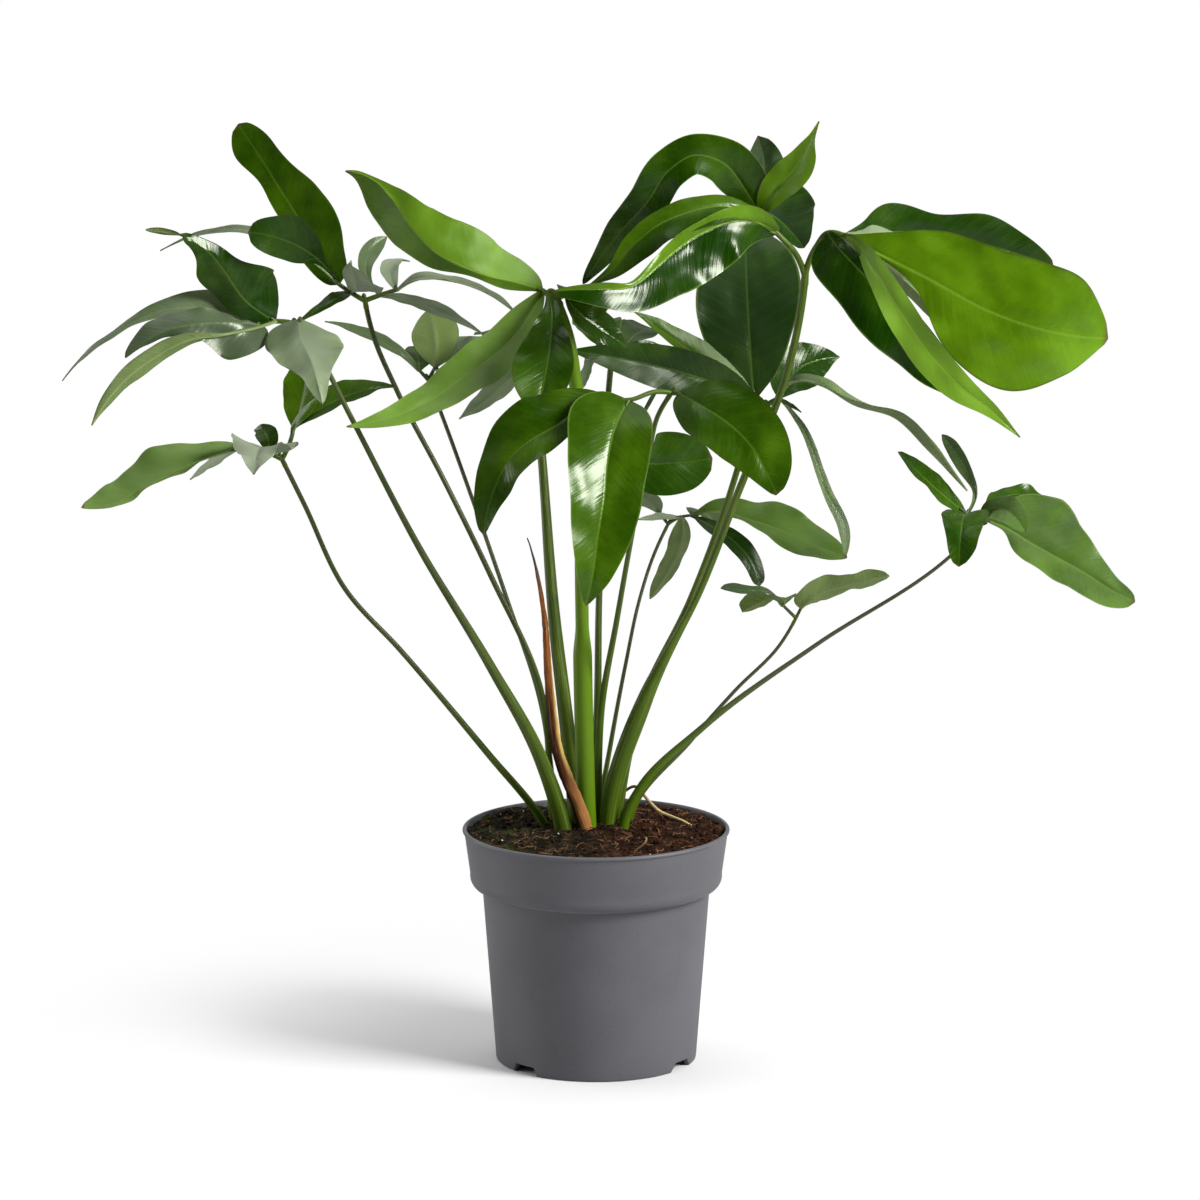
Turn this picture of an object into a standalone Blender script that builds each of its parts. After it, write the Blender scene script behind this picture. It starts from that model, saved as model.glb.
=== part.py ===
"""Finger-leaf philodendron in a round nursery pot.

A young philodendron with thirteen compound leaves.  Each leaf stands on its own
petiole, which comes out of the soil near the middle of the pot, and ends in short
arms that carry a whorl of leaflets.

Frame: metres, +Z up, the origin on the pot's axis at the level of its foot ring,
-Y the front of the plant.  Tables of points are in millimetres.
"""

import math
from collections import namedtuple

import bpy
import numpy as np

# ---------------------------------------------------------------- driving sizes (metres)
MM = 0.001
GAP = 0.0003  # left between pieces that touch

POT_HEIGHT = 0.150
RIM_RADIUS = 0.0850
LIP_HEIGHT = 0.0024  # the rounded bead round the rim
LIP_WIDTH = 0.0012  # how far the bead stands proud of the collar
COLLAR_FOOT_Z = 0.1213  # where the collar turns in to the body
COLLAR_FOOT_RADIUS = 0.0802
SHOULDER_Z = 0.1118  # where the body starts
BODY_TOP_RADIUS = 0.0724
BODY_FOOT_RADIUS = 0.0640
WALL = 0.0015
POT_FLOOR_Z = 0.0060  # underside of the pot's floor, above the foot ring
FLOOR_THICKNESS = 0.0018
FOOT_WIDTH = 0.0030  # radial width of the foot ring
POT_SEGMENTS = 44

NOTCH_ANGLES = (-135.0, -32.0, 45.0, 148.0)  # drainage notches, degrees from +X
NOTCH_SPAN = 16.0  # degrees
NOTCH_HEIGHT = 0.0058
DRAIN_HOLES = 6
DRAIN_RADIUS = 0.0050
DRAIN_RING_RADIUS = 0.0430
DRAIN_SIDES = 10
CUTTER_REACH = 0.002  # how far a hole's cutter runs past the floor, each way

SOIL_RIM_Z = 0.1475  # level of the soil along the wall
SOIL_MOUND = 0.0050  # extra height where the petioles come out
SOIL_MOUND_RADIUS = 0.036
SOIL_MOUND_CENTRE = (-0.003, 0.010)
SOIL_LUMP = 0.0012  # height of the small lumps
SOIL_WAVES = (310.0, 270.0, 520.0)  # how closely the lumps follow each other, radians a metre
SOIL_RINGS = 6
SOIL_SEGMENTS = 32

PETIOLE_SIDES = 6
PETIOLE_RINGS = 11
FOOT_FLARE = 2.6  # how fast a petiole narrows above its foot
CLASPING = {  # petioles with a stout clasping sheath, and the shares between which it ends
    "centre_tall": (0.36, 0.42),
    "right_tall": (0.20, 0.42),
    "centre_low": (0.10, 0.95),
}
KNUCKLE_LENGTH = 0.007  # the short swelling where a petiole meets its leaf
ARM_RADIUS = 0.0019
ARM_SIDES = 6
ARM_STEP = 0.007  # longest stretch between two rings of an arm
ARM_TAPER = (1.04, 0.80)  # an arm's radius at its two ends, as a share of ARM_RADIUS

LEAFLET_THICKNESS = 0.0012
ROOT_DEPTH = 0.0007  # how far a leaflet starts inside its arm
STALK_HALF_WIDTH = 0.0013  # half-width where a leaflet joins its arm
TIP_HALF_WIDTH = 0.0007
LARGE_LEAFLET = 0.0095  # half-widths above this get more rows
LARGE_ROWS = 8
SMALL_ROWS = 6
PROFILE_RISE = 0.75  # how bluntly a leaflet widens from its stalk
WAVES = 2.5  # how many times a leaflet's margins swing from its stalk to its tip
STATIONS = 8  # an uneven leaflet's half widths are given at the seven stations between its ends

SHEATH_ROWS = 10
SHEATH_SOCKET_SIDES = 8
ROOT_RADII = {"root_arch": 0.0009, "root_front": 0.0006}
ROOT_SIDES = 6
ROOT_RINGS = 24

# A leaflet grows from a joint of its leaf's arms, given as (arm, joint), along path, its
# midrib.  face is the way its upper side looks, and turn, if given, the way it looks past
# the share turning of its length.  belly is where along the midrib an even leaflet is
# widest; sides gives the half widths of an uneven one, left and right, at its stations.
# fold is how steeply its halves rise from the midrib (one number, or left and right), and
# wave how far its margins swing, as a share of the half width.
Leaflet = namedtuple(
    "Leaflet",
    "root path half_width face turn turning belly fold wave sides",
    defaults=(None, (0.0, 1.0), 0.42, 0.22, 0.08, None),
)
# A leaf has the path of its petiole from the soil up, the petiole's radius at both
# ends, its arms and its leaflets.
Leaf = namedtuple("Leaf", "petiole radii arms leaflets")

LEAVES = {
    "left_low": Leaf(
        petiole=((-24, 7, 134), (-36, 5, 156), (-67, -4, 197), (-123, -16, 268), (-157, -22, 308),
                 (-182, -27, 363), (-194, -30, 389)),
        radii=(2.9, 1.5),
        arms=(((-203, -32, 396), (-221, -34, 400)), ((-190, -30, 404), (-188, -30, 412))),
        leaflets=(
            Leaflet((0, 1), ((-252, -42, 391), (-280, -50, 378), (-301, -56, 368),
                    (-318, -60, 367)), 24, (-0.1, -0.6, 0.8), fold=(0.3, 0.1),
                    sides=((2, 2.5, 3, 3.5, 4, 4, 2.5), (6, 11, 19, 23, 17, 13, 6))),
            Leaflet((0, 0), ((-208, -58, 403), (-210, -80, 391)), 17, (0, -0.35, 1.0), wave=0.2,
                    sides=((12, 20, 20, 16, 11, 6, 2), (9, 16, 20, 17, 12, 7, 2))),
            Leaflet((0, 0), ((-207, -20, 408), (-214, -10, 407)), 7, (0, -0.8, 0.5)),
            Leaflet((0, 1), ((-238, -18, 389), (-255, -4, 375)), 6, (-0.3, -0.6, 0.7)),
            Leaflet((1, 1), ((-183, -24, 432), (-179, -14, 460)), 13, (-0.4, -0.85, 0.2), fold=0.15,
                    belly=0.5),
            Leaflet((1, 1), ((-156, -20, 430), (-124, -5, 434)), 11, (0.1, -0.4, 0.9), fold=0.4),
            Leaflet((1, 0), ((-182, -42, 423), (-166, -50, 438)), 3, (0, -0.6, 0.8)),
        ),
    ),
    "left_front": Leaf(
        petiole=((-18, -4, 134), (-21, -6, 152), (-35, -14, 198), (-66, -28, 260), (-109, -44, 337),
                 (-152, -58, 425), (-170, -64, 462), (-181, -66, 479)),
        radii=(6.3, 1.6),
        arms=(((-196, -68, 484), (-205, -70, 483)), ((-181, -70, 486),)),
        leaflets=(
            Leaflet((0, 0), ((-210, -76, 494), (-238, -92, 532), (-254, -98, 542),
                    (-272, -104, 545)), 21, (0.1, -0.95, 0.25), turn=(0.1, 0.6, 0.8),
                    turning=(0.6, 0.8), fold=(0.1, -0.5), sides=((4, 8, 13, 16, 5, 2.5, 1.5),
                    (13, 22, 22, 9, 4, 3, 2))),
            Leaflet((0, 1), ((-221, -74, 489), (-243, -78, 494), (-269, -82, 491), (-294, -80, 479),
                    (-312, -74, 465), (-328, -66, 447)), 14, (0, -0.9, 0.4), fold=(0.3, -0.2),
                    turn=(-0.1, -0.45, 0.9), turning=(0.3, 0.8), sides=((2, 3, 4, 4, 5, 4, 1.2),
                    (7, 14, 11, 6, 5, 4, 2))),
            Leaflet((0, 1), ((-216, -88, 486), (-238, -98, 487), (-262, -106, 483),
                    (-285, -112, 468)), 20, (-0.2, -0.75, 0.62), wave=0.1, fold=(-0.5, -0.1),
                    sides=((8, 17, 20, 9, 3, 2, 1), (3, 4, 8, 12, 13, 9, 4))),
            Leaflet((0, 0), ((-225, -96, 480), (-246, -104, 478), (-267, -110, 468),
                    (-284, -116, 456), (-295, -120, 444), (-305, -122, 428)), 7, (-0.4, 0.8, 0.3),
                    sides=((1, 1, 1.5, 5.5, 7, 4.5, 1.4), (1, 1, 1.5, 5.5, 7, 4.5, 1.4))),
            Leaflet((1, 0), ((-179, -96, 478), (-172, -114, 466), (-165, -128, 442)), 26,
                    (0.15, -0.5, 0.85), fold=(-0.15, -0.4), wave=0.05,
                    sides=((10, 20, 26, 24, 13, 7, 3), (10, 18, 21, 18, 10, 6, 2))),
        ),
    ),
    "left_back": Leaf(
        petiole=((-26, 18, 134), (-28, 18, 154), (-36, 20, 238), (-67, 22, 309), (-97, 25, 371),
                 (-126, 28, 427), (-141, 30, 463), (-145, 30, 480)),
        radii=(2.4, 1.6),
        arms=(((-155, 30, 489), (-162, 30, 494)), ((-136, 30, 487), (-126, 32, 490))),
        leaflets=(
            Leaflet((0, 1), ((-191, 45, 539), (-226, 60, 592)), 22, (-0.3, -0.95, 0.1),
                    fold=(0.2, -0.1), wave=0.04, sides=((7, 11, 12, 10, 9, 13, 8),
                    (9, 15, 22, 21, 14, 12, 7))),
            Leaflet((0, 1), ((-173, 12, 511), (-188, 0, 523), (-216, -12, 532)), 17,
                    (-0.2, -0.95, 0.1), wave=0.04, fold=(0.1, 0.05),
                    sides=((1.2, 1.4, 3, 10, 12, 11, 7), (1.2, 1.4, 3, 12, 17, 12, 7))),
            Leaflet((0, 1), ((-219, 24, 529), (-275, 40, 514)), 4, (0, -0.5, 0.8)),
            Leaflet((1, 0), ((-146, 50, 504), (-133, 70, 519)), 6, (0.2, -0.8, 0.5),
                    sides=((1.2, 1.4, 3, 5, 6, 5, 2), (1.2, 1.4, 3, 5, 6, 5, 2))),
            Leaflet((0, 0), ((-150, 4, 498), (-153, -14, 512)), 13, (0.5, -0.25, 0.8), fold=0.5,
                    sides=((4, 9, 14, 15, 14, 10, 5), (4, 9, 13, 13, 11, 8, 4))),
            Leaflet((1, 1), ((-130, 60, 503), (-119, 82, 502)), 6, (0, -0.3, 1.0)),
            Leaflet((0, 0), ((-163, 4, 488), (-188, -14, 474)), 5, (0, -0.5, 0.9)),
            Leaflet((1, 1), ((-112, 26, 498), (-88, 28, 496), (-51, 30, 476)), 8, (0, -0.3, 1.0),
                    fold=0.3, sides=((2, 4, 5, 4, 4, 4, 1.5), (2, 5, 8, 6, 4, 4, 1.5))),
            Leaflet((1, 0), ((-104, 6, 482), (-70, -10, 468)), 7, (0, -0.35, 0.9)),
        ),
    ),
    "left_small": Leaf(
        petiole=((-24, 29, 134), (-26, 30, 152), (-35, 42, 220), (-57, 70, 283), (-85, 106, 357),
                 (-99, 125, 392), (-108, 134, 414)),
        radii=(2.1, 1.3),
        arms=(((-105, 138, 425),), ((-115, 132, 424),)),
        leaflets=(
            Leaflet((0, 0), ((-105, 142, 444), (-109, 150, 462)), 16, (0.1, 0.9, 0.3), belly=0.55,
                    fold=0.1, wave=0.03),
            Leaflet((1, 0), ((-137, 122, 443), (-175, 112, 459)), 7, (0.2, -0.4, 0.9)),
            Leaflet((0, 0), ((-97, 117, 427), (-89, 106, 441)), 5, (0.2, -0.6, 0.8)),
            Leaflet((0, 0), ((-83, 158, 438), (-63, 172, 440)), 9, (0, -0.3, 1.0)),
            Leaflet((1, 0), ((-118, 156, 432), (-123, 172, 434)), 10, (0, -0.2, 1.0)),
        ),
    ),
    "centre_low": Leaf(
        petiole=((-12, 10, 134), (-13, 10, 156), (-17, 14, 198), (-27, 24, 285), (-34, 40, 377),
                 (-37, 47, 412), (-38, 50, 432)),
        radii=(5.0, 2.7),
        arms=(((-46, 52, 440),), ((-30, 54, 443),)),
        leaflets=(
            Leaflet((0, 0), ((-62, 50, 424), (-87, 44, 406)), 9, (0, -0.5, 0.8)),
            Leaflet((0, 0), ((-60, 112, 448), (-80, 166, 443)), 15, (0, -0.2, 1.0)),
            Leaflet((1, 0), ((-33, 116, 446), (-30, 168, 438)), 16, (0, -0.2, 1.0)),
            Leaflet((1, 0), ((-27, 66, 418), (-22, 72, 392)), 9, (0.2, -0.8, 0.5)),
        ),
    ),
    "centre_tall": Leaf(
        petiole=((-5, -2, 134), (-6, -3, 158), (-8, -7, 235), (-9, -12, 304), (-10, -16, 377),
                 (-13, -19, 440), (-19, -20, 472), (-25, -20, 488)),
        radii=(6.0, 4.2),
        arms=(((-33, -23, 497),), ((-19, -22, 494),)),
        leaflets=(
            Leaflet((0, 0), ((-49, -30, 503), (-68, -36, 508), (-84, -40, 515), (-99, -40, 523),
                    (-114, -36, 538), (-127, -30, 556), (-136, -26, 565), (-155, -20, 571)), 25,
                    (-0.3, -0.85, 0.45), fold=(-0.9, 0.0), wave=0.01,
                    sides=((2, 4.5, 3, 10, 17, 14, 3), (9, 17, 25, 24, 14, 3, 1.5))),
            Leaflet((0, 0), ((-53, -45, 469), (-80, -65, 450), (-111, -82, 432), (-152, -95, 423)),
                    17, (-0.2, -0.8, 0.55), fold=(0.1, 0.2), wave=0.1,
                    sides=((4, 9, 15, 16, 10, 6, 2), (5, 12, 15, 14, 11, 6, 2))),
            Leaflet((0, 0), ((-27, -56, 488), (-28, -72, 471), (-31, -88, 453), (-36, -100, 430)),
                    20, (0.1, -0.85, 0.5), fold=(0.25, 0.15), sides=((1, 2, 5, 11, 16, 13, 5),
                    (1, 2, 6, 14, 21, 18, 7))),
            Leaflet((1, 0), ((-8, -24, 481), (4, -20, 472), (19, -12, 460)), 10, (0.3, -0.85, 0.4),
                    sides=((2, 6, 9, 10, 9, 5, 1.5), (2, 5, 8, 9, 8, 5, 2))),
            Leaflet((1, 0), ((-4, 50, 484), (2, 110, 458)), 16, (0, -0.2, 1.0)),
        ),
    ),
    "front": Leaf(
        petiole=((1, 13, 134), (1, 12, 156), (3, 0, 223), (13, -30, 290), (25, -70, 366),
                 (33, -96, 410), (38, -105, 432), (44, -108, 443)),
        radii=(3.2, 1.5),
        arms=(((36, -112, 447), (20, -118, 443), (8, -118, 444)), ((50, -112, 446),)),
        leaflets=(
            Leaflet((0, 1), ((11, -136, 427), (7, -147, 410), (5, -156, 390), (1, -164, 366),
                    (-2, -168, 343), (-6, -168, 326)), 28, (-0.2, -0.9, 0.35),
                    turn=(0.22, -0.9, 0.3), turning=(0.1, 0.55), fold=(0.1, 0.3), wave=0.04,
                    sides=((14, 23, 25, 23, 20, 12, 4), (17, 28, 25, 23, 17, 11, 4))),
            Leaflet((0, 2), ((-9, -126, 439), (-25, -132, 429), (-41, -136, 420), (-53, -138, 409),
                    (-60, -138, 395), (-68, -134, 363)), 24, (-0.3, -0.8, 0.5), fold=0.1,
                    sides=((4, 8, 12, 15, 12, 7, 3), (6, 16, 25, 24, 16, 10, 5))),
            Leaflet((1, 0), ((66, -138, 441), (80, -148, 433), (93, -156, 421), (100, -160, 410),
                    (108, -162, 392)), 21, (-0.1, -0.85, 0.5), fold=0.05, wave=0.05,
                    sides=((6, 15, 23, 25, 23, 17, 8), (6, 13, 19, 20, 17, 10, 4))),
            Leaflet((0, 0), ((26, -92, 424), (20, -76, 405), (30, -66, 396), (50, -61, 395),
                    (72, -56, 397)), 18, (-0.2, -0.95, 0.05), fold=0.1, wave=0.03,
                    sides=((1.2, 1.3, 1.4, 8, 19, 18, 10), (1.2, 1.3, 1.4, 9, 19, 18, 10))),
        ),
    ),
    "centre_back": Leaf(
        petiole=((-1, 26, 134), (-1, 26, 152), (1, 29, 227), (2, 38, 294), (6, 52, 365),
                 (8, 65, 421), (10, 70, 441)),
        radii=(3.2, 1.9),
        arms=(((2, 73, 449),), ((18, 73, 448),)),
        leaflets=(
            Leaflet((1, 0), ((38, 76, 440), (64, 86, 426)), 11, (0, -0.6, 0.7)),
            Leaflet((0, 0), ((-5, 92, 430), (-15, 100, 411)), 8, (-0.2, -0.6, 0.7)),
            Leaflet((0, 0), ((0, 122, 456), (-5, 171, 448)), 16, (0, -0.2, 1.0)),
            Leaflet((1, 0), ((32, 124, 452), (46, 171, 441)), 15, (0.1, -0.2, 1.0)),
        ),
    ),
    "right_mid": Leaf(
        petiole=((1, 37, 134), (2, 37, 150), (9, 42, 193), (19, 54, 245), (28, 67, 285),
                 (38, 82, 313), (45, 89, 327)),
        radii=(2.2, 1.1),
        arms=(((55, 93, 334), (62, 93, 335)), ((41, 89, 337),)),
        leaflets=(
            Leaflet((0, 0), ((41, 80, 336), (26, 70, 337)), 5, (0, -0.3, 1.0)),
            Leaflet((1, 0), ((33, 104, 343), (22, 118, 345)), 7, (0, -0.6, 0.8)),
            Leaflet((0, 1), ((84, 84, 339), (95, 80, 336), (116, 74, 330), (138, 68, 321),
                    (161, 62, 313)), 18, (0.1, -0.65, 0.7), fold=0.1,
                    sides=((3, 9, 14, 19, 17, 12, 6), (1.2, 2, 3, 9, 13, 10, 4))),
            Leaflet((0, 1), ((75, 80, 330), (87, 74, 323), (98, 68, 312), (105, 64, 294)), 7,
                    (0.3, -0.7, 0.4), fold=0.15, sides=((1, 3.5, 6, 7, 7, 6, 4),
                    (1, 3.5, 6, 7, 7, 6, 4))),
            Leaflet((0, 0), ((55, 98, 316), (47, 104, 297), (35, 110, 277)), 8, (-0.4, 0.8, 0.2),
                    sides=((3, 7, 9, 8, 7, 5, 2), (3, 6, 7, 7, 6, 4, 2))),
            Leaflet((0, 1), ((72, 130, 330), (78, 168, 312)), 11, (0, -0.3, 1.0)),
        ),
    ),
    "right_tall": Leaf(
        petiole=((7, 4, 134), (8, 3, 157), (31, -4, 234), (65, -12, 305), (93, -20, 380),
                 (114, -25, 431), (123, -28, 464), (129, -30, 503)),
        radii=(5.7, 2.4),
        arms=(((124, -32, 520), (112, -36, 534), (100, -40, 547)),
              ((136, -35, 526), (143, -40, 535), (152, -43, 534))),
        leaflets=(
            Leaflet((0, 2), ((91, -42, 563), (78, -47, 579), (60, -50, 584), (45, -50, 575),
                    (32, -44, 555), (15, -26, 534), (-8, 0, 498)), 18, (-0.2, -0.95, 0.15),
                    turn=(0.3, -1.0, 0.0), turning=(0.35, 0.65), fold=0.1, wave=0.06,
                    sides=((5, 13, 12, 12, 13, 8, 3), (12, 17, 13, 13, 11, 6, 3))),
            Leaflet((0, 2), ((104, -10, 574), (101, 16, 589)), 14, (-0.2, -0.95, 0.1)),
            Leaflet((0, 2), ((111, -48, 564), (122, -54, 577), (129, -58, 591), (136, -62, 606)),
                    11, (-0.3, -0.95, 0.1), fold=(0.1, 0.3), sides=((3, 7, 10, 10, 6, 2, 0.8),
                    (3, 7, 10, 12, 10, 3, 0.8))),
            Leaflet((0, 2), ((112, -14, 541), (130, 5, 520)), 26, (-0.1, -0.98, 0.1),
                    sides=((12, 20, 25, 25, 20, 12, 5), (5, 9, 10, 9, 7, 5, 3))),
            Leaflet((0, 1), ((76, -52, 553), (54, -58, 549), (37, -62, 542), (25, -62, 532),
                    (8, -60, 513), (-4, -56, 505)), 12, (0.1, -0.75, 0.6), fold=0.12,
                    sides=((3, 6, 12, 14, 13, 7, 2), (3, 5, 8, 9, 8, 4, 1.5))),
            Leaflet((0, 1), ((83, -56, 544), (67, -62, 538.5), (52, -70, 530.4), (39, -82, 521),
                    (21, -96, 509), (2, -105, 508.7), (-16, -105, 508.2), (-26, -103, 507)), 27,
                    (-0.25, -0.95, 0.2), turn=(0.3, -0.85, 0.42), turning=(0.25, 0.5),
                    fold=(0.0, 0.6), sides=((8, 18, 26, 26, 17, 10, 5), (5, 9, 7, 6, 3, 3, 1.5))),
            Leaflet((1, 2), ((165, -50, 528), (203, -62, 510), (242, -72, 490), (279, -73, 478),
                    (315, -58, 472)), 42, (-0.3, -0.85, 0.4), turn=(-0.5, -0.9, 0.1),
                    turning=(0.4, 1.0), fold=(0.05, -0.1), wave=0.04,
                    sides=((4, 15, 31, 37, 40, 36, 17), (1.5, 2, 9, 33, 42, 26, 8))),
            Leaflet((1, 2), ((166, -14, 531), (196, 6, 530), (236, 22, 522), (288, 32, 505)), 20,
                    (-0.3, -0.95, 0.1), wave=0.04, sides=((1.5, 6, 18, 13, 19, 13, 6),
                    (1.5, 5, 12, 12, 12, 9, 4))),
            Leaflet((1, 2), ((162, -70, 530), (172, -90, 514), (184, -100, 495), (201, -108, 471),
                    (220, -114, 451), (241, -118, 435), (257, -118, 420)), 10, (-0.35, -0.9, 0.2),
                    fold=0.1, sides=((1.5, 4, 8, 9.5, 9, 5, 1.5), (1.5, 4, 7.5, 10.5, 11, 5, 1.5))),
            Leaflet((1, 1), ((147, -62, 530), (170, -78, 507), (190, -86, 486), (213, -90, 458),
                    (243, -94, 431)), 24, (-0.5, -0.8, 0.35), fold=0.1,
                    sides=((3, 6, 8, 9, 8, 5, 2), (12, 21, 23, 25, 19, 9, 3))),
            Leaflet((1, 2), ((164, -30, 531), (180, -14, 532), (196, 4, 525)), 8, (0, -0.3, 1.0)),
            Leaflet((1, 1), ((205, 2, 489), (234, 10, 451)), 12, (0.2, 0.7, 0.6)),
        ),
    ),
    "right_back": Leaf(
        petiole=((12, 23, 134), (14, 22, 155), (30, 27, 227), (60, 35, 290), (84, 47, 353),
                 (95, 54, 386), (105, 59, 408)),
        radii=(4.0, 2.0),
        arms=(((101, 62, 416),), ((117, 60, 417),)),
        leaflets=(
            Leaflet((0, 0), ((97, 78, 471), (96, 112, 520)), 34, (-0.05, -0.95, 0.3), fold=0.1,
                    wave=0.04, sides=((6, 16, 28, 33, 30, 22, 10), (6, 17, 26, 33, 34, 26, 12))),
            Leaflet((1, 0), ((134, 86, 434), (157, 102, 437)), 16, (-0.1, -0.95, 0.2)),
            Leaflet((0, 0), ((63, 54, 446), (23, 48, 475)), 10, (0.3, -0.6, 0.6), fold=0.4),
            Leaflet((0, 0), ((42, 30, 441), (-18, 16, 454)), 15, (-0.3, -0.9, 0.2)),
            Leaflet((1, 0), ((128, 44, 431), (143, 36, 429), (163, 30, 418), (189, 18, 411),
                    (209, 10, 392), (234, 6, 366)), 5, (0.1, -0.5, 0.8), turn=(0.5, 0.6, 0.5),
                    fold=0.5, sides=((1.5, 4, 5.5, 4, 5, 5, 1.5), (1.5, 3.5, 4, 5, 7, 4, 1.5))),
            Leaflet((1, 0), ((130, 46, 402), (147, 32, 359), (157, 28, 338), (158, 26, 320)), 4,
                    (0.4, -0.7, 0.5), sides=((1.2, 2, 3, 3.5, 4, 4, 2), (1.2, 2, 3, 3.5, 4, 4, 2))),
            Leaflet((1, 0), ((123, 50, 414), (130, 40, 411)), 2, (0, -0.5, 0.8)),
        ),
    ),
    "right_low": Leaf(
        petiole=((16, -1, 134), (19, -1, 157), (29, -2, 177), (66, -2, 214), (140, 4, 268),
                 (222, 9, 322), (234, 10, 333)),
        radii=(3.9, 1.15),
        arms=(((242, 10, 343), (246, 9, 347)), ((234, 13, 350),)),
        leaflets=(
            Leaflet((0, 1), ((258, 3, 343), (271, -8, 336.5), (287, -21, 329), (304, -30, 321),
                    (321, -37, 311), (336, -42, 304)), 30, (0.1, -0.75, 0.6), fold=(0.15, 0.1),
                    wave=0.05, sides=((14, 30, 36, 26, 16, 9, 5), (2, 4, 13, 15, 15, 14, 8))),
            Leaflet((0, 0), ((256, -14, 357), (268, -30, 346)), 10, (0, -0.8, 0.6), belly=0.55),
            Leaflet((1, 0), ((211, 0, 371), (189, -20, 395)), 8, (0.4, -0.7, 0.5),
                    sides=((2, 5, 7, 6, 5, 4, 2), (2, 5, 8, 8, 7, 4, 2))),
            Leaflet((1, 0), ((240, 20, 361), (233, 26, 378), (219, 30, 398)), 5, (-0.5, -0.7, 0.3),
                    sides=((1, 1.3, 2, 4, 5, 4, 2), (1, 1.3, 2, 4, 5, 5, 2.5))),
            Leaflet((1, 0), ((228, -26, 345), (226, -40, 326)), 14, (-0.1, -0.6, 0.8),
                    sides=((6, 12, 16, 15, 12, 10, 5), (6, 12, 14, 12, 9, 7, 4))),
            Leaflet((0, 1), ((268, 52, 366), (285, 58, 358), (306, 72, 342)), 7, (0, -0.4, 0.9),
                    wave=0.25),
        ),
    ),
    "right_small": Leaf(
        petiole=((20, 14, 134), (23, 15, 156), (60, 22, 201), (89, 29, 233), (118, 36, 262),
                 (126, 38, 275)),
        radii=(2.4, 1.1),
        arms=(((131, 38, 285),), ((119, 36, 287),)),
        leaflets=(
            Leaflet((0, 0), ((133, 32, 289), (151, 26, 300), (168, 22, 305), (186, 20, 309)), 13,
                    (-0.1, 0.7, 0.6), sides=((3, 8, 9, 10, 10, 8, 4), (4, 9, 12, 10, 8, 7, 4))),
            Leaflet((1, 0), ((111, 26, 297), (97, 16, 300), (79, 10, 303)), 5, (0, -0.4, 0.9),
                    sides=((2, 3, 4, 4, 5, 5, 3), (2, 3, 4, 4, 5, 5, 3))),
            Leaflet((1, 0), ((110, 54, 288), (103, 60, 283), (94, 66, 277)), 9, (-0.1, 0.7, 0.6),
                    sides=((1.5, 3, 6, 9, 10, 8, 5), (1.5, 3, 5, 6, 6, 5, 3))),
            Leaflet((1, 0), ((120, 10, 297), (118, -8, 298)), 7, (0, -0.4, 0.9)),
        ),
    ),
}

# The dry sheath that once wrapped the newest leaf.
SHEATH_PATH = ((-5, -12, 137), (-8, -12.5, 152), (-13, -13.5, 168), (-19, -15, 183),
               (-25, -17, 201), (-29, -20, 229), (-31, -23.5, 256), (-33, -27, 292),
               (-36, -30, 313), (-40, -33, 333), (-43, -35, 343))
SHEATH_HALF_WIDTH = 4.6
SHEATH_FACE = (-0.35, -0.9, 0.1)

# Bare roots that arch over the soil.
ROOTS = {
    "root_arch": ((13, 45, 140), (15, 44, 157), (19, 43, 164), (25, 42, 167), (30, 42, 162),
                  (35, 43, 156), (40, 41, 151.5), (45, 35, 150.2), (51, 27, 149.7), (57, 20, 148.6),
                  (62, 15, 146.6)),
    "root_front": ((22, -66, 147), (24.4, -61.8, 149.2), (28.2, -51, 149.6), (31.3, -38, 149.8),
                   (31.5, -27, 149.6), (29.7, -19, 147)),
}

COLOURS = {  # sRGB, then roughness
    "pot": ((108, 109, 113), 0.48),
    "soil": ((52, 36, 26), 0.95),
    "petiole": ((82, 112, 42), 0.45),
    "leaf": ((48, 92, 22), 0.30),
    "sheath": ((132, 70, 38), 0.65),
    "root": ((190, 165, 110), 0.75),
}


# ------------------------------------------------------------------------------- helpers
def clear_scene():
    for item in list(bpy.data.objects):
        bpy.data.objects.remove(item, do_unlink=True)


def linear(channel):
    """One sRGB channel, 0 to 255, as linear light."""
    c = channel / 255.0
    return c / 12.92 if c <= 0.04045 else ((c + 0.055) / 1.055) ** 2.4


def material(name):
    colour, roughness = COLOURS[name]
    made = bpy.data.materials.new(name)
    made.use_nodes = True
    shader = made.node_tree.nodes["Principled BSDF"]
    shader.inputs["Base Color"].default_value = (*(linear(c) for c in colour), 1.0)
    shader.inputs["Roughness"].default_value = roughness
    shader.inputs["Metallic"].default_value = 0.0
    return made


def new_object(name, vertices, faces, surface=None):
    mesh = bpy.data.meshes.new(name)
    mesh.from_pydata([tuple(v) for v in vertices], [], faces)
    mesh.update()
    made = bpy.data.objects.new(name, mesh)
    bpy.context.scene.collection.objects.link(made)
    if surface is not None:
        mesh.materials.append(surface)
        mesh.shade_smooth()
        mesh.set_sharp_from_angle(angle=math.radians(35))
    return made


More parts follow.
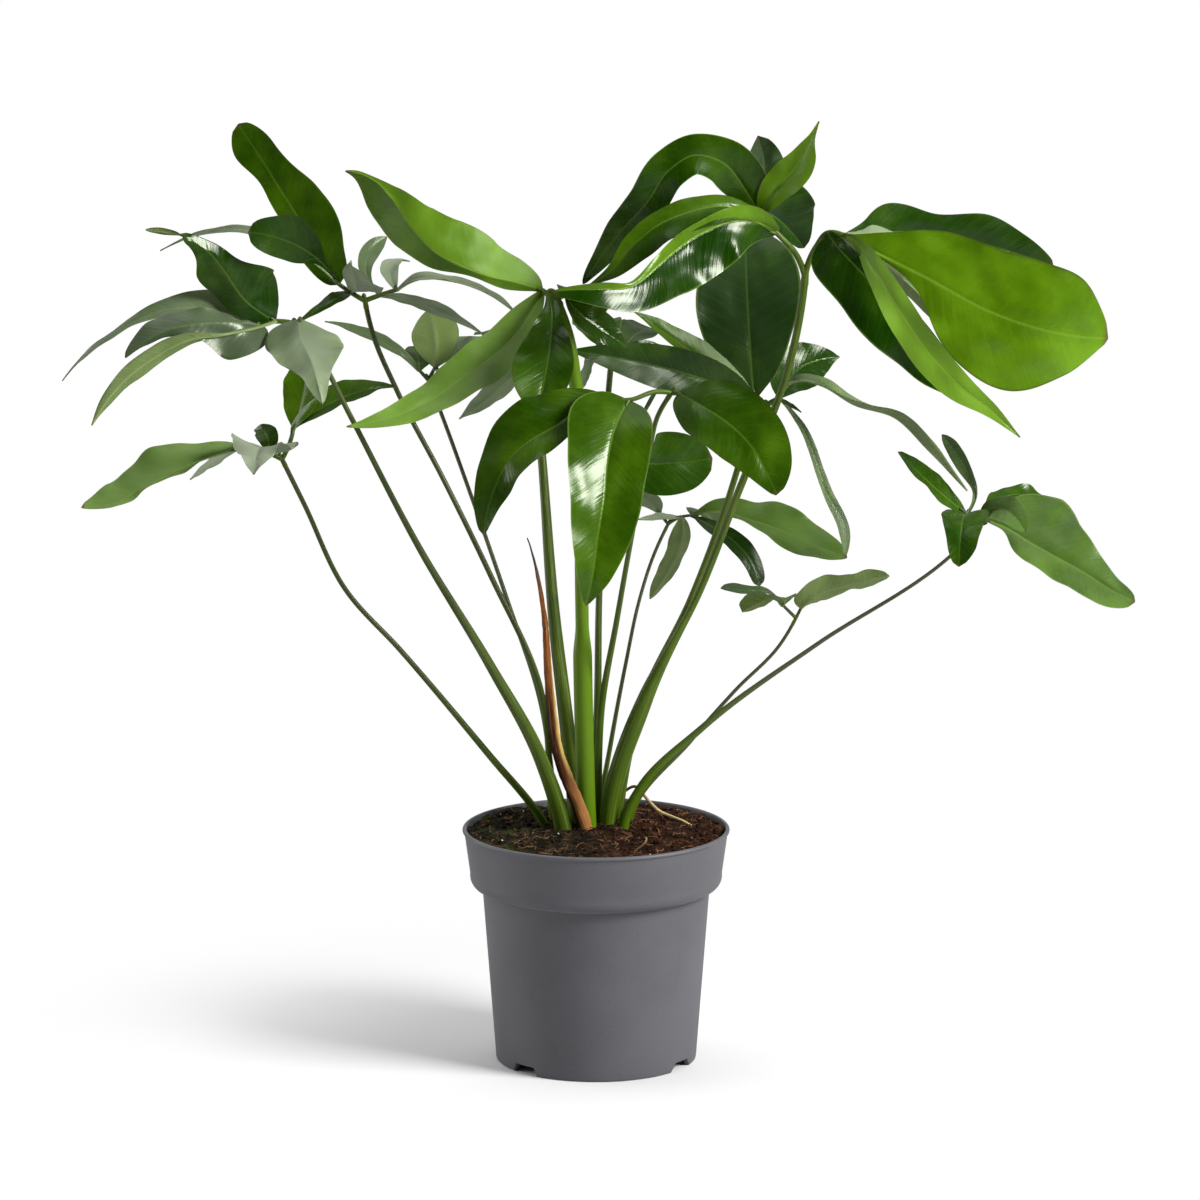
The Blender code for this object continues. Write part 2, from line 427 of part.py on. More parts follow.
def combine(target, tools, operation):
    """Apply one exact Boolean of target with all the tools, and delete the tools."""
    group = bpy.data.collections.new("tools")
    bpy.context.scene.collection.children.link(group)
    for tool in tools:
        bpy.context.scene.collection.objects.unlink(tool)
        group.objects.link(tool)
    modifier = target.modifiers.new("combine", "BOOLEAN")
    modifier.operation = operation
    modifier.solver = "EXACT"
    modifier.operand_type = "COLLECTION"
    modifier.collection = group
    evaluated = target.evaluated_get(bpy.context.evaluated_depsgraph_get())
    result = bpy.data.meshes.new_from_object(evaluated)
    target.modifiers.clear()
    old = target.data
    target.data = result
    bpy.data.meshes.remove(old)
    for tool in tools:
        bpy.data.objects.remove(tool, do_unlink=True)
    bpy.data.collections.remove(group)


def unit(vectors):
    return vectors / np.linalg.norm(vectors, axis=-1, keepdims=True)


def even_shares(count):
    return np.linspace(0.0, 1.0, count + 1)


def station_shares(count):
    """Shares of a length that crowd towards its ends."""
    return (1 - np.cos(math.pi * even_shares(count))) / 2


def smooth_path(points, shares):
    """Places at shares of a smooth curve through the points, and its directions there."""
    points = np.asarray(points, float)
    lengths = np.linalg.norm(np.diff(points, axis=0), axis=1)
    slopes = np.empty_like(points)
    chords = np.diff(points, axis=0) / lengths[:, None]
    before, after = lengths[:-1, None], lengths[1:, None]
    slopes[1:-1] = (chords[:-1] * after + chords[1:] * before) / (before + after)
    if len(points) > 2:
        slopes[0] = 2 * chords[0] - slopes[1]
        slopes[-1] = 2 * chords[-1] - slopes[-2]
    else:
        slopes[:] = chords[0]
    knots = np.concatenate([[0.0], np.cumsum(lengths)])
    places = shares * knots[-1]
    span = np.clip(np.searchsorted(knots, places, side="right") - 1, 0, len(lengths) - 1)
    h = lengths[span][:, None]
    t = (places - knots[span])[:, None] / h
    p0, p1, m0, m1 = points[span], points[span + 1], slopes[span] * h, slopes[span + 1] * h
    where = (2 * t**3 - 3 * t**2 + 1) * p0 + (t**3 - 2 * t**2 + t) * m0
    where += (3 * t**2 - 2 * t**3) * p1 + (t**3 - t**2) * m1
    along = (6 * t**2 - 6 * t) * (p0 - p1) + (3 * t**2 - 4 * t + 1) * m0 + (3 * t**2 - 2 * t) * m1
    return where, unit(along)


def carried_frames(along):
    """Side directions that turn as little as possible along a path."""
    side = np.cross(along[0], (0.0, 1.0, 0.2))
    sides = []
    for direction in along:
        side = side - direction * np.dot(side, direction)
        side = side / np.linalg.norm(side)
        sides.append(side)
    sides = np.array(sides)
    return sides, np.cross(along, sides)


def even_taper(radii):
    """A radius that goes evenly from the first to the last."""
    return lambda share: radii[0] + (radii[1] - radii[0]) * share


def tube(name, points, radius, count, sides, surface=None):
    """A closed tube along a smooth path; radius gives its radius at a share of its length."""
    where, along = smooth_path(points, even_shares(count))
    right, up = carried_frames(along)
    angles = np.arange(sides) * 2 * math.pi / sides
    vertices = []
    for i in range(count + 1):
        ring = np.outer(np.cos(angles), right[i]) + np.outer(np.sin(angles), up[i])
        vertices.extend(where[i] + radius(i / count) * ring)
    faces = [tuple(reversed(range(sides)))]
    for i in range(count):
        for k in range(sides):
            a, b = i * sides + k, i * sides + (k + 1) % sides
            faces.append((a, b, b + sides, a + sides))
    faces.append(tuple(range(count * sides, (count + 1) * sides)))
    return new_object(name, vertices, faces, surface)


def turned(name, profile, segments, surface=None):
    """A closed solid turned about Z from (radius, z) points, on the axis at both ends,
    listed from the bottom round the outside to the top."""
    vertices = [(0.0, 0.0, profile[0][1])]
    for radius, z in profile[1:-1]:
        for k in range(segments):
            angle = 2 * math.pi * k / segments
            vertices.append((radius * math.cos(angle), radius * math.sin(angle), z))
    vertices.append((0.0, 0.0, profile[-1][1]))
    rings = len(profile) - 2
    top = len(vertices) - 1
    faces = []
    for k in range(segments):
        following = (k + 1) % segments
        faces.append((0, 1 + following, 1 + k))
        for i in range(rings - 1):
            a, b = 1 + i * segments + k, 1 + i * segments + following
            faces.append((a, b, b + segments, a + segments))
        last = 1 + (rings - 1) * segments
        faces.append((last + k, last + following, top))
    return new_object(name, vertices, faces, surface)


# ----------------------------------------------------------------------------------- pot
def wall_radius(z):
    """Outer radius of the pot's body and collar at a height."""
    if z >= COLLAR_FOOT_Z:
        share = (z - COLLAR_FOOT_Z) / (POT_HEIGHT - LIP_HEIGHT - COLLAR_FOOT_Z)
        return COLLAR_FOOT_RADIUS + share * (RIM_RADIUS - LIP_WIDTH - COLLAR_FOOT_RADIUS)
    if z >= SHOULDER_Z:
        share = (z - SHOULDER_Z) / (COLLAR_FOOT_Z - SHOULDER_Z)
        return BODY_TOP_RADIUS + share * (COLLAR_FOOT_RADIUS - BODY_TOP_RADIUS)
    return BODY_FOOT_RADIUS + z / SHOULDER_Z * (BODY_TOP_RADIUS - BODY_FOOT_RADIUS)


def inner_profile(clearance=0.0):
    """The inside of the pot from the floor up, moved inwards by clearance."""
    inset = WALL + clearance
    floor = POT_FLOOR_Z + FLOOR_THICKNESS + clearance
    return [
        (wall_radius(floor) - inset, floor),
        (wall_radius(SHOULDER_Z) - inset, SHOULDER_Z + WALL / 2),
        (wall_radius(COLLAR_FOOT_Z) - inset, COLLAR_FOOT_Z + WALL / 2),
    ]


def make_pot(surface):
    half_lip = LIP_HEIGHT / 2
    foot_inside = BODY_FOOT_RADIUS - FOOT_WIDTH
    outside = [
        (0.0, POT_FLOOR_Z),
        (foot_inside, POT_FLOOR_Z),
        (foot_inside, 0.0),
        (BODY_FOOT_RADIUS, 0.0),
        (wall_radius(SHOULDER_Z), SHOULDER_Z),
        (wall_radius(COLLAR_FOOT_Z), COLLAR_FOOT_Z),
        (RIM_RADIUS - LIP_WIDTH, POT_HEIGHT - LIP_HEIGHT),
        (RIM_RADIUS, POT_HEIGHT - half_lip),
        (RIM_RADIUS - LIP_WIDTH / 2, POT_HEIGHT),
        (RIM_RADIUS - LIP_WIDTH - WALL, POT_HEIGHT),
    ]
    inside = list(reversed(inner_profile()))
    floor = (0.0, POT_FLOOR_Z + FLOOR_THICKNESS)
    pot = turned("pot", outside + inside + [floor], POT_SEGMENTS, surface)
    cutters = []
    for angle in NOTCH_ANGLES:
        cutters.append(notch_cutter(math.radians(angle)))
    for k in range(DRAIN_HOLES):
        angle = 2 * math.pi * k / DRAIN_HOLES
        x, y = DRAIN_RING_RADIUS * math.cos(angle), DRAIN_RING_RADIUS * math.sin(angle)
        top = POT_FLOOR_Z + FLOOR_THICKNESS + CUTTER_REACH
        ends = ((x, y, POT_FLOOR_Z - CUTTER_REACH), (x, y, top))
        cutters.append(tube("drain", ends, lambda share: DRAIN_RADIUS, 1, DRAIN_SIDES))
    combine(pot, cutters, "DIFFERENCE")
    return pot


def notch_cutter(angle):
    """A block that cuts one drainage notch through the foot ring."""
    half = math.radians(NOTCH_SPAN) / 2
    inner, outer = BODY_FOOT_RADIUS - 2 * FOOT_WIDTH, BODY_FOOT_RADIUS + FOOT_WIDTH
    vertices = []
    for z in (-FOOT_WIDTH, NOTCH_HEIGHT):
        for radius, turn in ((inner, -half), (outer, -half), (outer, half), (inner, half)):
            vertices.append((radius * math.cos(angle + turn), radius * math.sin(angle + turn), z))
    faces = [(0, 3, 2, 1), (4, 5, 6, 7)]
    faces += [(k, (k + 1) % 4, (k + 1) % 4 + 4, k + 4) for k in range(4)]
    return new_object("notch", vertices, faces)


# ---------------------------------------------------------------------------------- soil
def soil_height(x, y):
    """Level of the soil, a low mound with small lumps."""
    from_middle = math.hypot(x - SOIL_MOUND_CENTRE[0], y - SOIL_MOUND_CENTRE[1])
    mound = SOIL_MOUND * math.exp(-((from_middle / SOIL_MOUND_RADIUS) ** 2))
    across, along, fine = SOIL_WAVES
    lumps = math.sin(across * x) * math.cos(along * y) + 0.7 * math.sin(fine * (x + y))
    return SOIL_RIM_Z + mound + SOIL_LUMP * lumps


def make_soil(surface, sockets):
    """The root ball: it fills the pot, and each piece that grows out of it has a socket."""
    side = inner_profile(GAP)
    share = (SOIL_RIM_Z - COLLAR_FOOT_Z) / (POT_HEIGHT - COLLAR_FOOT_Z)
    rim = RIM_RADIUS - LIP_WIDTH - WALL - GAP
    edge = side[-1][0] + share * (rim - side[-1][0]) - GAP
    profile = [(0.0, side[0][1])] + side
    for ring in range(SOIL_RINGS, 0, -1):
        profile.append((edge * ring / SOIL_RINGS, SOIL_RIM_Z))
    profile.append((0.0, SOIL_RIM_Z))
    soil = turned("soil", profile, SOIL_SEGMENTS, surface)
    for vertex in soil.data.vertices:
        x, y, z = vertex.co
        if abs(z - SOIL_RIM_Z) < MM / 10:
            vertex.co.z = soil_height(x, y)
    combine(soil, sockets, "DIFFERENCE")
    return soil


# -------------------------------------------------------------------------------- leaves
def smoothstep(value, low, high):
    share = np.clip((value - low) / (high - low), 0.0, 1.0)
    return share * share * (3 - 2 * share)


def side_widths(values, u):
    """Half widths at shares of a leaflet's length, smooth through its stations."""
    knots = np.concatenate([[0.0], values, [0.0]])
    slopes = np.gradient(knots)
    place = np.arccos(np.clip(1 - 2 * u, -1, 1)) / math.pi * STATIONS
    k = np.clip(place.astype(int), 0, STATIONS - 1)
    t = place - k
    width = (2 * t**3 - 3 * t**2 + 1) * knots[k] + (t**3 - 2 * t**2 + t) * slopes[k]
    return width + (3 * t**2 - 2 * t**3) * knots[k + 1] + (t**3 - t**2) * slopes[k + 1]


def leaflet_grid(root, leaflet, rows):
    """Points of a leaflet's middle surface, three to a row: margin, midrib, margin."""
    half_width = leaflet.half_width * MM
    points = [root] + [np.array(p) * MM for p in leaflet.path]
    u = station_shares(rows)
    where, along = smooth_path(points, u)
    start = np.array(leaflet.face, float)
    end = start if leaflet.turn is None else np.array(leaflet.turn, float)
    face = start + (end - start) * smoothstep(u, *leaflet.turning)[:, None]
    up = unit(face - along * np.sum(face * along, axis=1, keepdims=True))
    right = np.cross(along, up)
    if leaflet.sides is None:
        fall = PROFILE_RISE * (1 - leaflet.belly) / leaflet.belly
        even = (u / leaflet.belly) ** PROFILE_RISE * ((1 - u) / (1 - leaflet.belly)) ** fall
        widths = (even * half_width, even * half_width)
    else:
        widths = [side_widths(side, u) * MM for side in leaflet.sides]
    folds = leaflet.fold if isinstance(leaflet.fold, tuple) else (leaflet.fold, leaflet.fold)
    narrowest = STALK_HALF_WIDTH + (TIP_HALF_WIDTH - STALK_HALF_WIDTH) * u
    swing = half_width * leaflet.wave * np.sin(math.pi * u)
    grid = np.empty((rows + 1, 3, 3))
    grid[:, 1] = where
    for column, sign, width, fold in ((0, -1.0, widths[0], folds[0]), (2, 1.0, widths[1], folds[1])):
        reach = np.maximum(width, narrowest)[:, None]
        wave = swing * np.sin(2 * math.pi * WAVES * u + sign + half_width)
        grid[:, column] = where + sign * right * reach + up * (reach * fold + wave[:, None])
    return grid, up


def leaflet_solid(name, root, leaflet, rows):
    """A leaflet as one closed plate, creased along its midrib."""
    grid, up = leaflet_grid(root, leaflet, rows)
    half = up[:, None, :] * LEAFLET_THICKNESS / 2
    vertices = np.concatenate([(grid + half).reshape(-1, 3), (grid - half).reshape(-1, 3)])
    below = 3 * (rows + 1)
    faces = []
    for i in range(rows):
        for j in range(2):
            a, b = 3 * i + j, 3 * i + j + 1
            c, d = b + 3, a + 3
            faces += [(a, b, c), (a, c, d)]
            faces += [(below + a, below + c, below + b), (below + a, below + d, below + c)]
        left, right = 3 * i, 3 * i + 2
        faces.append((left, left + 3, below + left + 3, below + left))
        faces.append((right, below + right, below + right + 3, right + 3))
    last = 3 * rows
    faces.append((0, below, below + 1, below + 2, 2, 1))
    faces.append((last, last + 1, last + 2, below + last + 2, below + last + 1, below + last))
    return new_object(name, vertices, faces)


def petiole_points(leaf):
    return [np.array(p) * MM for p in leaf.petiole]


def petiole_radius(name, leaf):
    """Radius along a petiole: stout at its foot, or as far as its clasping sheath goes."""
    foot, top = (r * MM for r in leaf.radii)

    def radius(share):
        if name in CLASPING:
            return top + (foot - top) * (1 - smoothstep(share, *CLASPING[name]))
        return top + (foot - top) * (1 - share) ** FOOT_FLARE

    return radius


def make_petiole(name, leaf, surface):
    radius = petiole_radius(name, leaf)
    return tube("petiole_" + name, petiole_points(leaf), radius, PETIOLE_RINGS, PETIOLE_SIDES, surface)


def socket(points, radius, count, sides):
    """A cutter a gap wider than a tube and a gap longer at both ends."""
    along = smooth_path(points, even_shares(count))[1]
    points = [points[0] - along[0] * GAP] + list(points[1:-1]) + [points[-1] + along[-1] * GAP]
    wider = GAP / math.cos(math.pi / sides)
    return tube("socket", points, lambda share: radius(share) + wider, count, sides)


def make_leaf(name, leaf, surface):
    """The knuckle, the arms and all the leaflets of a leaf, grown together."""
    points = petiole_points(leaf)
    top, along = smooth_path(points, even_shares(PETIOLE_RINGS))
    start = top[-1] + along[-1] * GAP
    centre = start + along[-1] * KNUCKLE_LENGTH / 2
    end = start + along[-1] * KNUCKLE_LENGTH
    radius = leaf.radii[1] * MM
    body = tube("leaf_" + name, (start, end), lambda share: radius, 1, ARM_SIDES)
    parts = []
    for arm in leaf.arms:
        arm_points = [centre] + [np.array(p) * MM for p in arm]
        length = sum(np.linalg.norm(b - a) for a, b in zip(arm_points, arm_points[1:]))
        count = max(2, math.ceil(length / ARM_STEP))
        taper = even_taper((min(radius, ARM_RADIUS) * ARM_TAPER[0], ARM_RADIUS * ARM_TAPER[1]))
        parts.append(tube("arm", arm_points, taper, count, ARM_SIDES))
    for leaflet in leaf.leaflets:
        arm, joint = leaflet.root
        root = np.array(leaf.arms[arm][joint]) * MM
        root = root - unit(np.array(leaflet.path[0]) * MM - root) * ROOT_DEPTH
        rows = LARGE_ROWS if leaflet.half_width * MM > LARGE_LEAFLET else SMALL_ROWS
        parts.append(leaflet_solid("leaflet", root, leaflet, rows))
    combine(body, parts, "UNION")
    body.data.materials.clear()
    body.data.materials.append(surface)
    return body


# ---------------------------------------------------------------------------- the others
def sheath_leaflet():
    path = SHEATH_PATH[1:]
    return Leaflet((0, 0), path, SHEATH_HALF_WIDTH, SHEATH_FACE, belly=0.24, fold=-0.35, wave=0.0)


def make_sheath(surface):
    root = np.array(SHEATH_PATH[0]) * MM
    sheath = leaflet_solid("dry_sheath", root, sheath_leaflet(), SHEATH_ROWS)
    sheath.data.materials.append(surface)
    return sheath


def sheath_socket():
    """A cutter round the foot of the dry sheath."""
    points = [np.array(p) * MM for p in SHEATH_PATH[:3]]
    radius = SHEATH_HALF_WIDTH * MM * 1.05 + GAP
    points[0] = points[0] - np.array((0, 0, GAP))
    return tube("socket", points, lambda share: radius, 4, SHEATH_SOCKET_SIDES)


def main():
    clear_scene()
    finish = {name: material(name) for name in COLOURS}
    make_pot(finish["pot"])
    sockets = []
    for name, leaf in LEAVES.items():
        make_petiole(name, leaf, finish["petiole"])
        make_leaf(name, leaf, finish["leaf"])
        radius = petiole_radius(name, leaf)
        sockets.append(socket(petiole_points(leaf), radius, PETIOLE_RINGS, PETIOLE_SIDES))
    make_sheath(finish["sheath"])
    sockets.append(sheath_socket())
    for name, path in ROOTS.items():
        points = [np.array(p) * MM for p in path]
        radius = even_taper((ROOT_RADII[name], ROOT_RADII[name]))
        tube(name, points, radius, ROOT_RINGS, ROOT_SIDES, finish["root"])
        sockets.append(socket(points, radius, ROOT_RINGS, ROOT_SIDES))
    make_soil(finish["soil"], sockets)


main()
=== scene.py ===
import math
from collections import namedtuple

import bmesh
import bpy
import numpy as np
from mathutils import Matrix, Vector, noise


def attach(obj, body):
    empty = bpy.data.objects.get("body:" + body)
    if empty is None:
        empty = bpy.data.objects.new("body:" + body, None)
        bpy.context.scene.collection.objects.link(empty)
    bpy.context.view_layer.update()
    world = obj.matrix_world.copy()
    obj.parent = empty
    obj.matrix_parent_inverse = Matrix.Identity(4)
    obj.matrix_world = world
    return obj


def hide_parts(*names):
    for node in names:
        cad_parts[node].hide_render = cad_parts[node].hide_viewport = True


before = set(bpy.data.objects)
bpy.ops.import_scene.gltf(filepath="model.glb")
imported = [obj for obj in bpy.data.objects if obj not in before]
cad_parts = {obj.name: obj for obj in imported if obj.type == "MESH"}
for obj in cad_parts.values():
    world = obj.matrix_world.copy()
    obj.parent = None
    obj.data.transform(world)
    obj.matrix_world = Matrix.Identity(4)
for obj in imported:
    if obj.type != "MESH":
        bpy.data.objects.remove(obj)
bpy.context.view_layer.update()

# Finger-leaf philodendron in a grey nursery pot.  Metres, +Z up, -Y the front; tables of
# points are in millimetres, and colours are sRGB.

MM = 0.001
TAU = 2 * math.pi
LEAF_SEED, LEAFLET_SEED = 0.618, 0.377  # steps that make each leaf and leaflet differ

# ---------------------------------------------------------------- pot and soil (metres)
POT_HEIGHT = 0.150
RIM_RADIUS = 0.0850
LIP_HEIGHT = 0.0024
LIP_WIDTH = 0.0012
COLLAR_FOOT_Z = 0.1213
COLLAR_FOOT_RADIUS = 0.0802
COLLAR_BULGE = 0.0006  # how far the turn below the collar swells
SHOULDER_Z = 0.1118
BODY_TOP_RADIUS = 0.0724
BODY_FOOT_RADIUS = 0.0640
EDGE_ROUND = 0.0012  # size of the rounding at the shoulder; the rim's and foot's are half
WALL = 0.0015
POT_FLOOR_Z = 0.0060
FLOOR_THICKNESS = 0.0018
FOOT_WIDTH = 0.0030
POT_SEGMENTS = 180
NOTCH_ANGLES = (-135.0, -32.0, 45.0, 148.0)
NOTCH_HALF = 8.0  # degrees
NOTCH_EDGE = 1.6  # degrees over which a notch's sides rise
NOTCH_HEIGHT = 0.0058

SOIL_RIM_Z = 0.1475
SOIL_MOUND = 0.0050
SOIL_MOUND_RADIUS = 0.036
SOIL_MOUND_CENTRE = (-0.003, 0.010)
SOIL_RADIUS = 0.0815
SOIL_LUMPS = ((75.0, 0.0022), (210.0, 0.0013), (520.0, 0.0008))  # closeness and height
# The root ball below its top: radius and height, from under the rim down.
SOIL_SIDE = ((0.0800, 0.138), (0.0778, 0.1223), (0.0695, 0.1108), (0.0622, 0.0085), (0.0, 0.0085))
SOIL_RINGS, SOIL_SEGMENTS = 74, 220
CRUMBS, STRANDS, GRAINS = 900, 560, 14  # loose bits of peat, fibre and perlite

# ------------------------------------------------------------------------------ leaflets
STALK_HALF_WIDTH = 0.0013
TIP_HALF_WIDTH = 0.0004
PROFILE_RISE = 0.75  # how bluntly an even leaflet widens from its stalk
WAVES = 2.5  # swings of a wavy margin
BLADE_THICKNESS = 0.0005
MARGIN_THINNING = 0.55  # share of the thickness lost at the margin
MIDRIB_HALF_WIDTH = 1.1  # millimetres
MIDRIB_RIDGE = 0.0008  # how far the midrib stands out below
MIDRIB_GROOVE = 0.0004  # and how deep it lies above
VEIN_SPACING = 8.5  # millimetres between side veins
VEIN_SLANT = 0.75  # how far a side vein runs forward for each step to the side
VEIN_RELIEF = 0.00004
VEIN_WIDTH = 0.16  # share of the spacing that a vein's colour takes up
STREAK_SLANT = 1.2  # the same for the streaks in a leaflet's shine
SWELL_HEIGHT = 0.0016  # slow swells of the blade
SWELL_LENGTH, SWELL_WIDTH = 20, 13  # millimetres
ROW_LENGTH, ROWS = 0.0021, (18, 84)  # a blade's mesh: the size and the limits of its rows
COLUMN_WIDTH, COLUMNS = 0.0017, (4, 16)  # and of the columns in each half
CROWDING = 1.15  # how much the columns crowd towards the midrib
KNUCKLE_LENGTH = 0.007
ARM_RADIUS = 0.0019
ARM_STEP = 0.0015  # length of one ring of an arm's mesh
STUB_LENGTH = 0.006  # longest stretch of round stalk that a leaflet grows from
CAP_RINGS = ((0.5, 0.87), (0.85, 0.53), (0.98, 0.2))  # place and width in a rounded end
FIRST_SIDE = (0.0, 1.0, 0.2)  # a tube's cross-section is set out from this direction
WARM_SHINE = (0.96, 1.0, 0.84, 1.0)  # tint of the highlights on leaves and stalks

# A leaflet grows from joint (arm, joint) along path, its midrib.  face is the way its
# upper side looks; turn, if given, the way it looks past the share turning of its length.
# belly is where an even leaflet is widest; sides gives the half widths of an uneven one,
# left and right, at seven stations closer together towards its ends.  fold is how steeply
# its halves rise from the midrib (one number, or left and right), wave how far its margins
# swing, bow how much its halves arch, tone its green from dark to bright, partly its own
# colour and partly painted light and shade (one number, or left and right), and the next
# number how much painted grey sheen it has and how matt it is (below zero: matt without
# the grey).
# A leaf has its petiole's path, the petiole's radii at its foot and top, and arms, which
# run from the knuckle through their joints.
Leaflet = namedtuple(
    "Leaflet",
    "root path half_width face turn turning belly fold wave bow tone bloom sides",
    defaults=(None, (0.0, 1.0), 0.42, 0.22, 0.08, 0.25, 0.25, 0.0, None),
)
Leaf = namedtuple("Leaf", "petiole radii arms leaflets")
STATIONS = 8  # stretches that the seven stations and both ends make

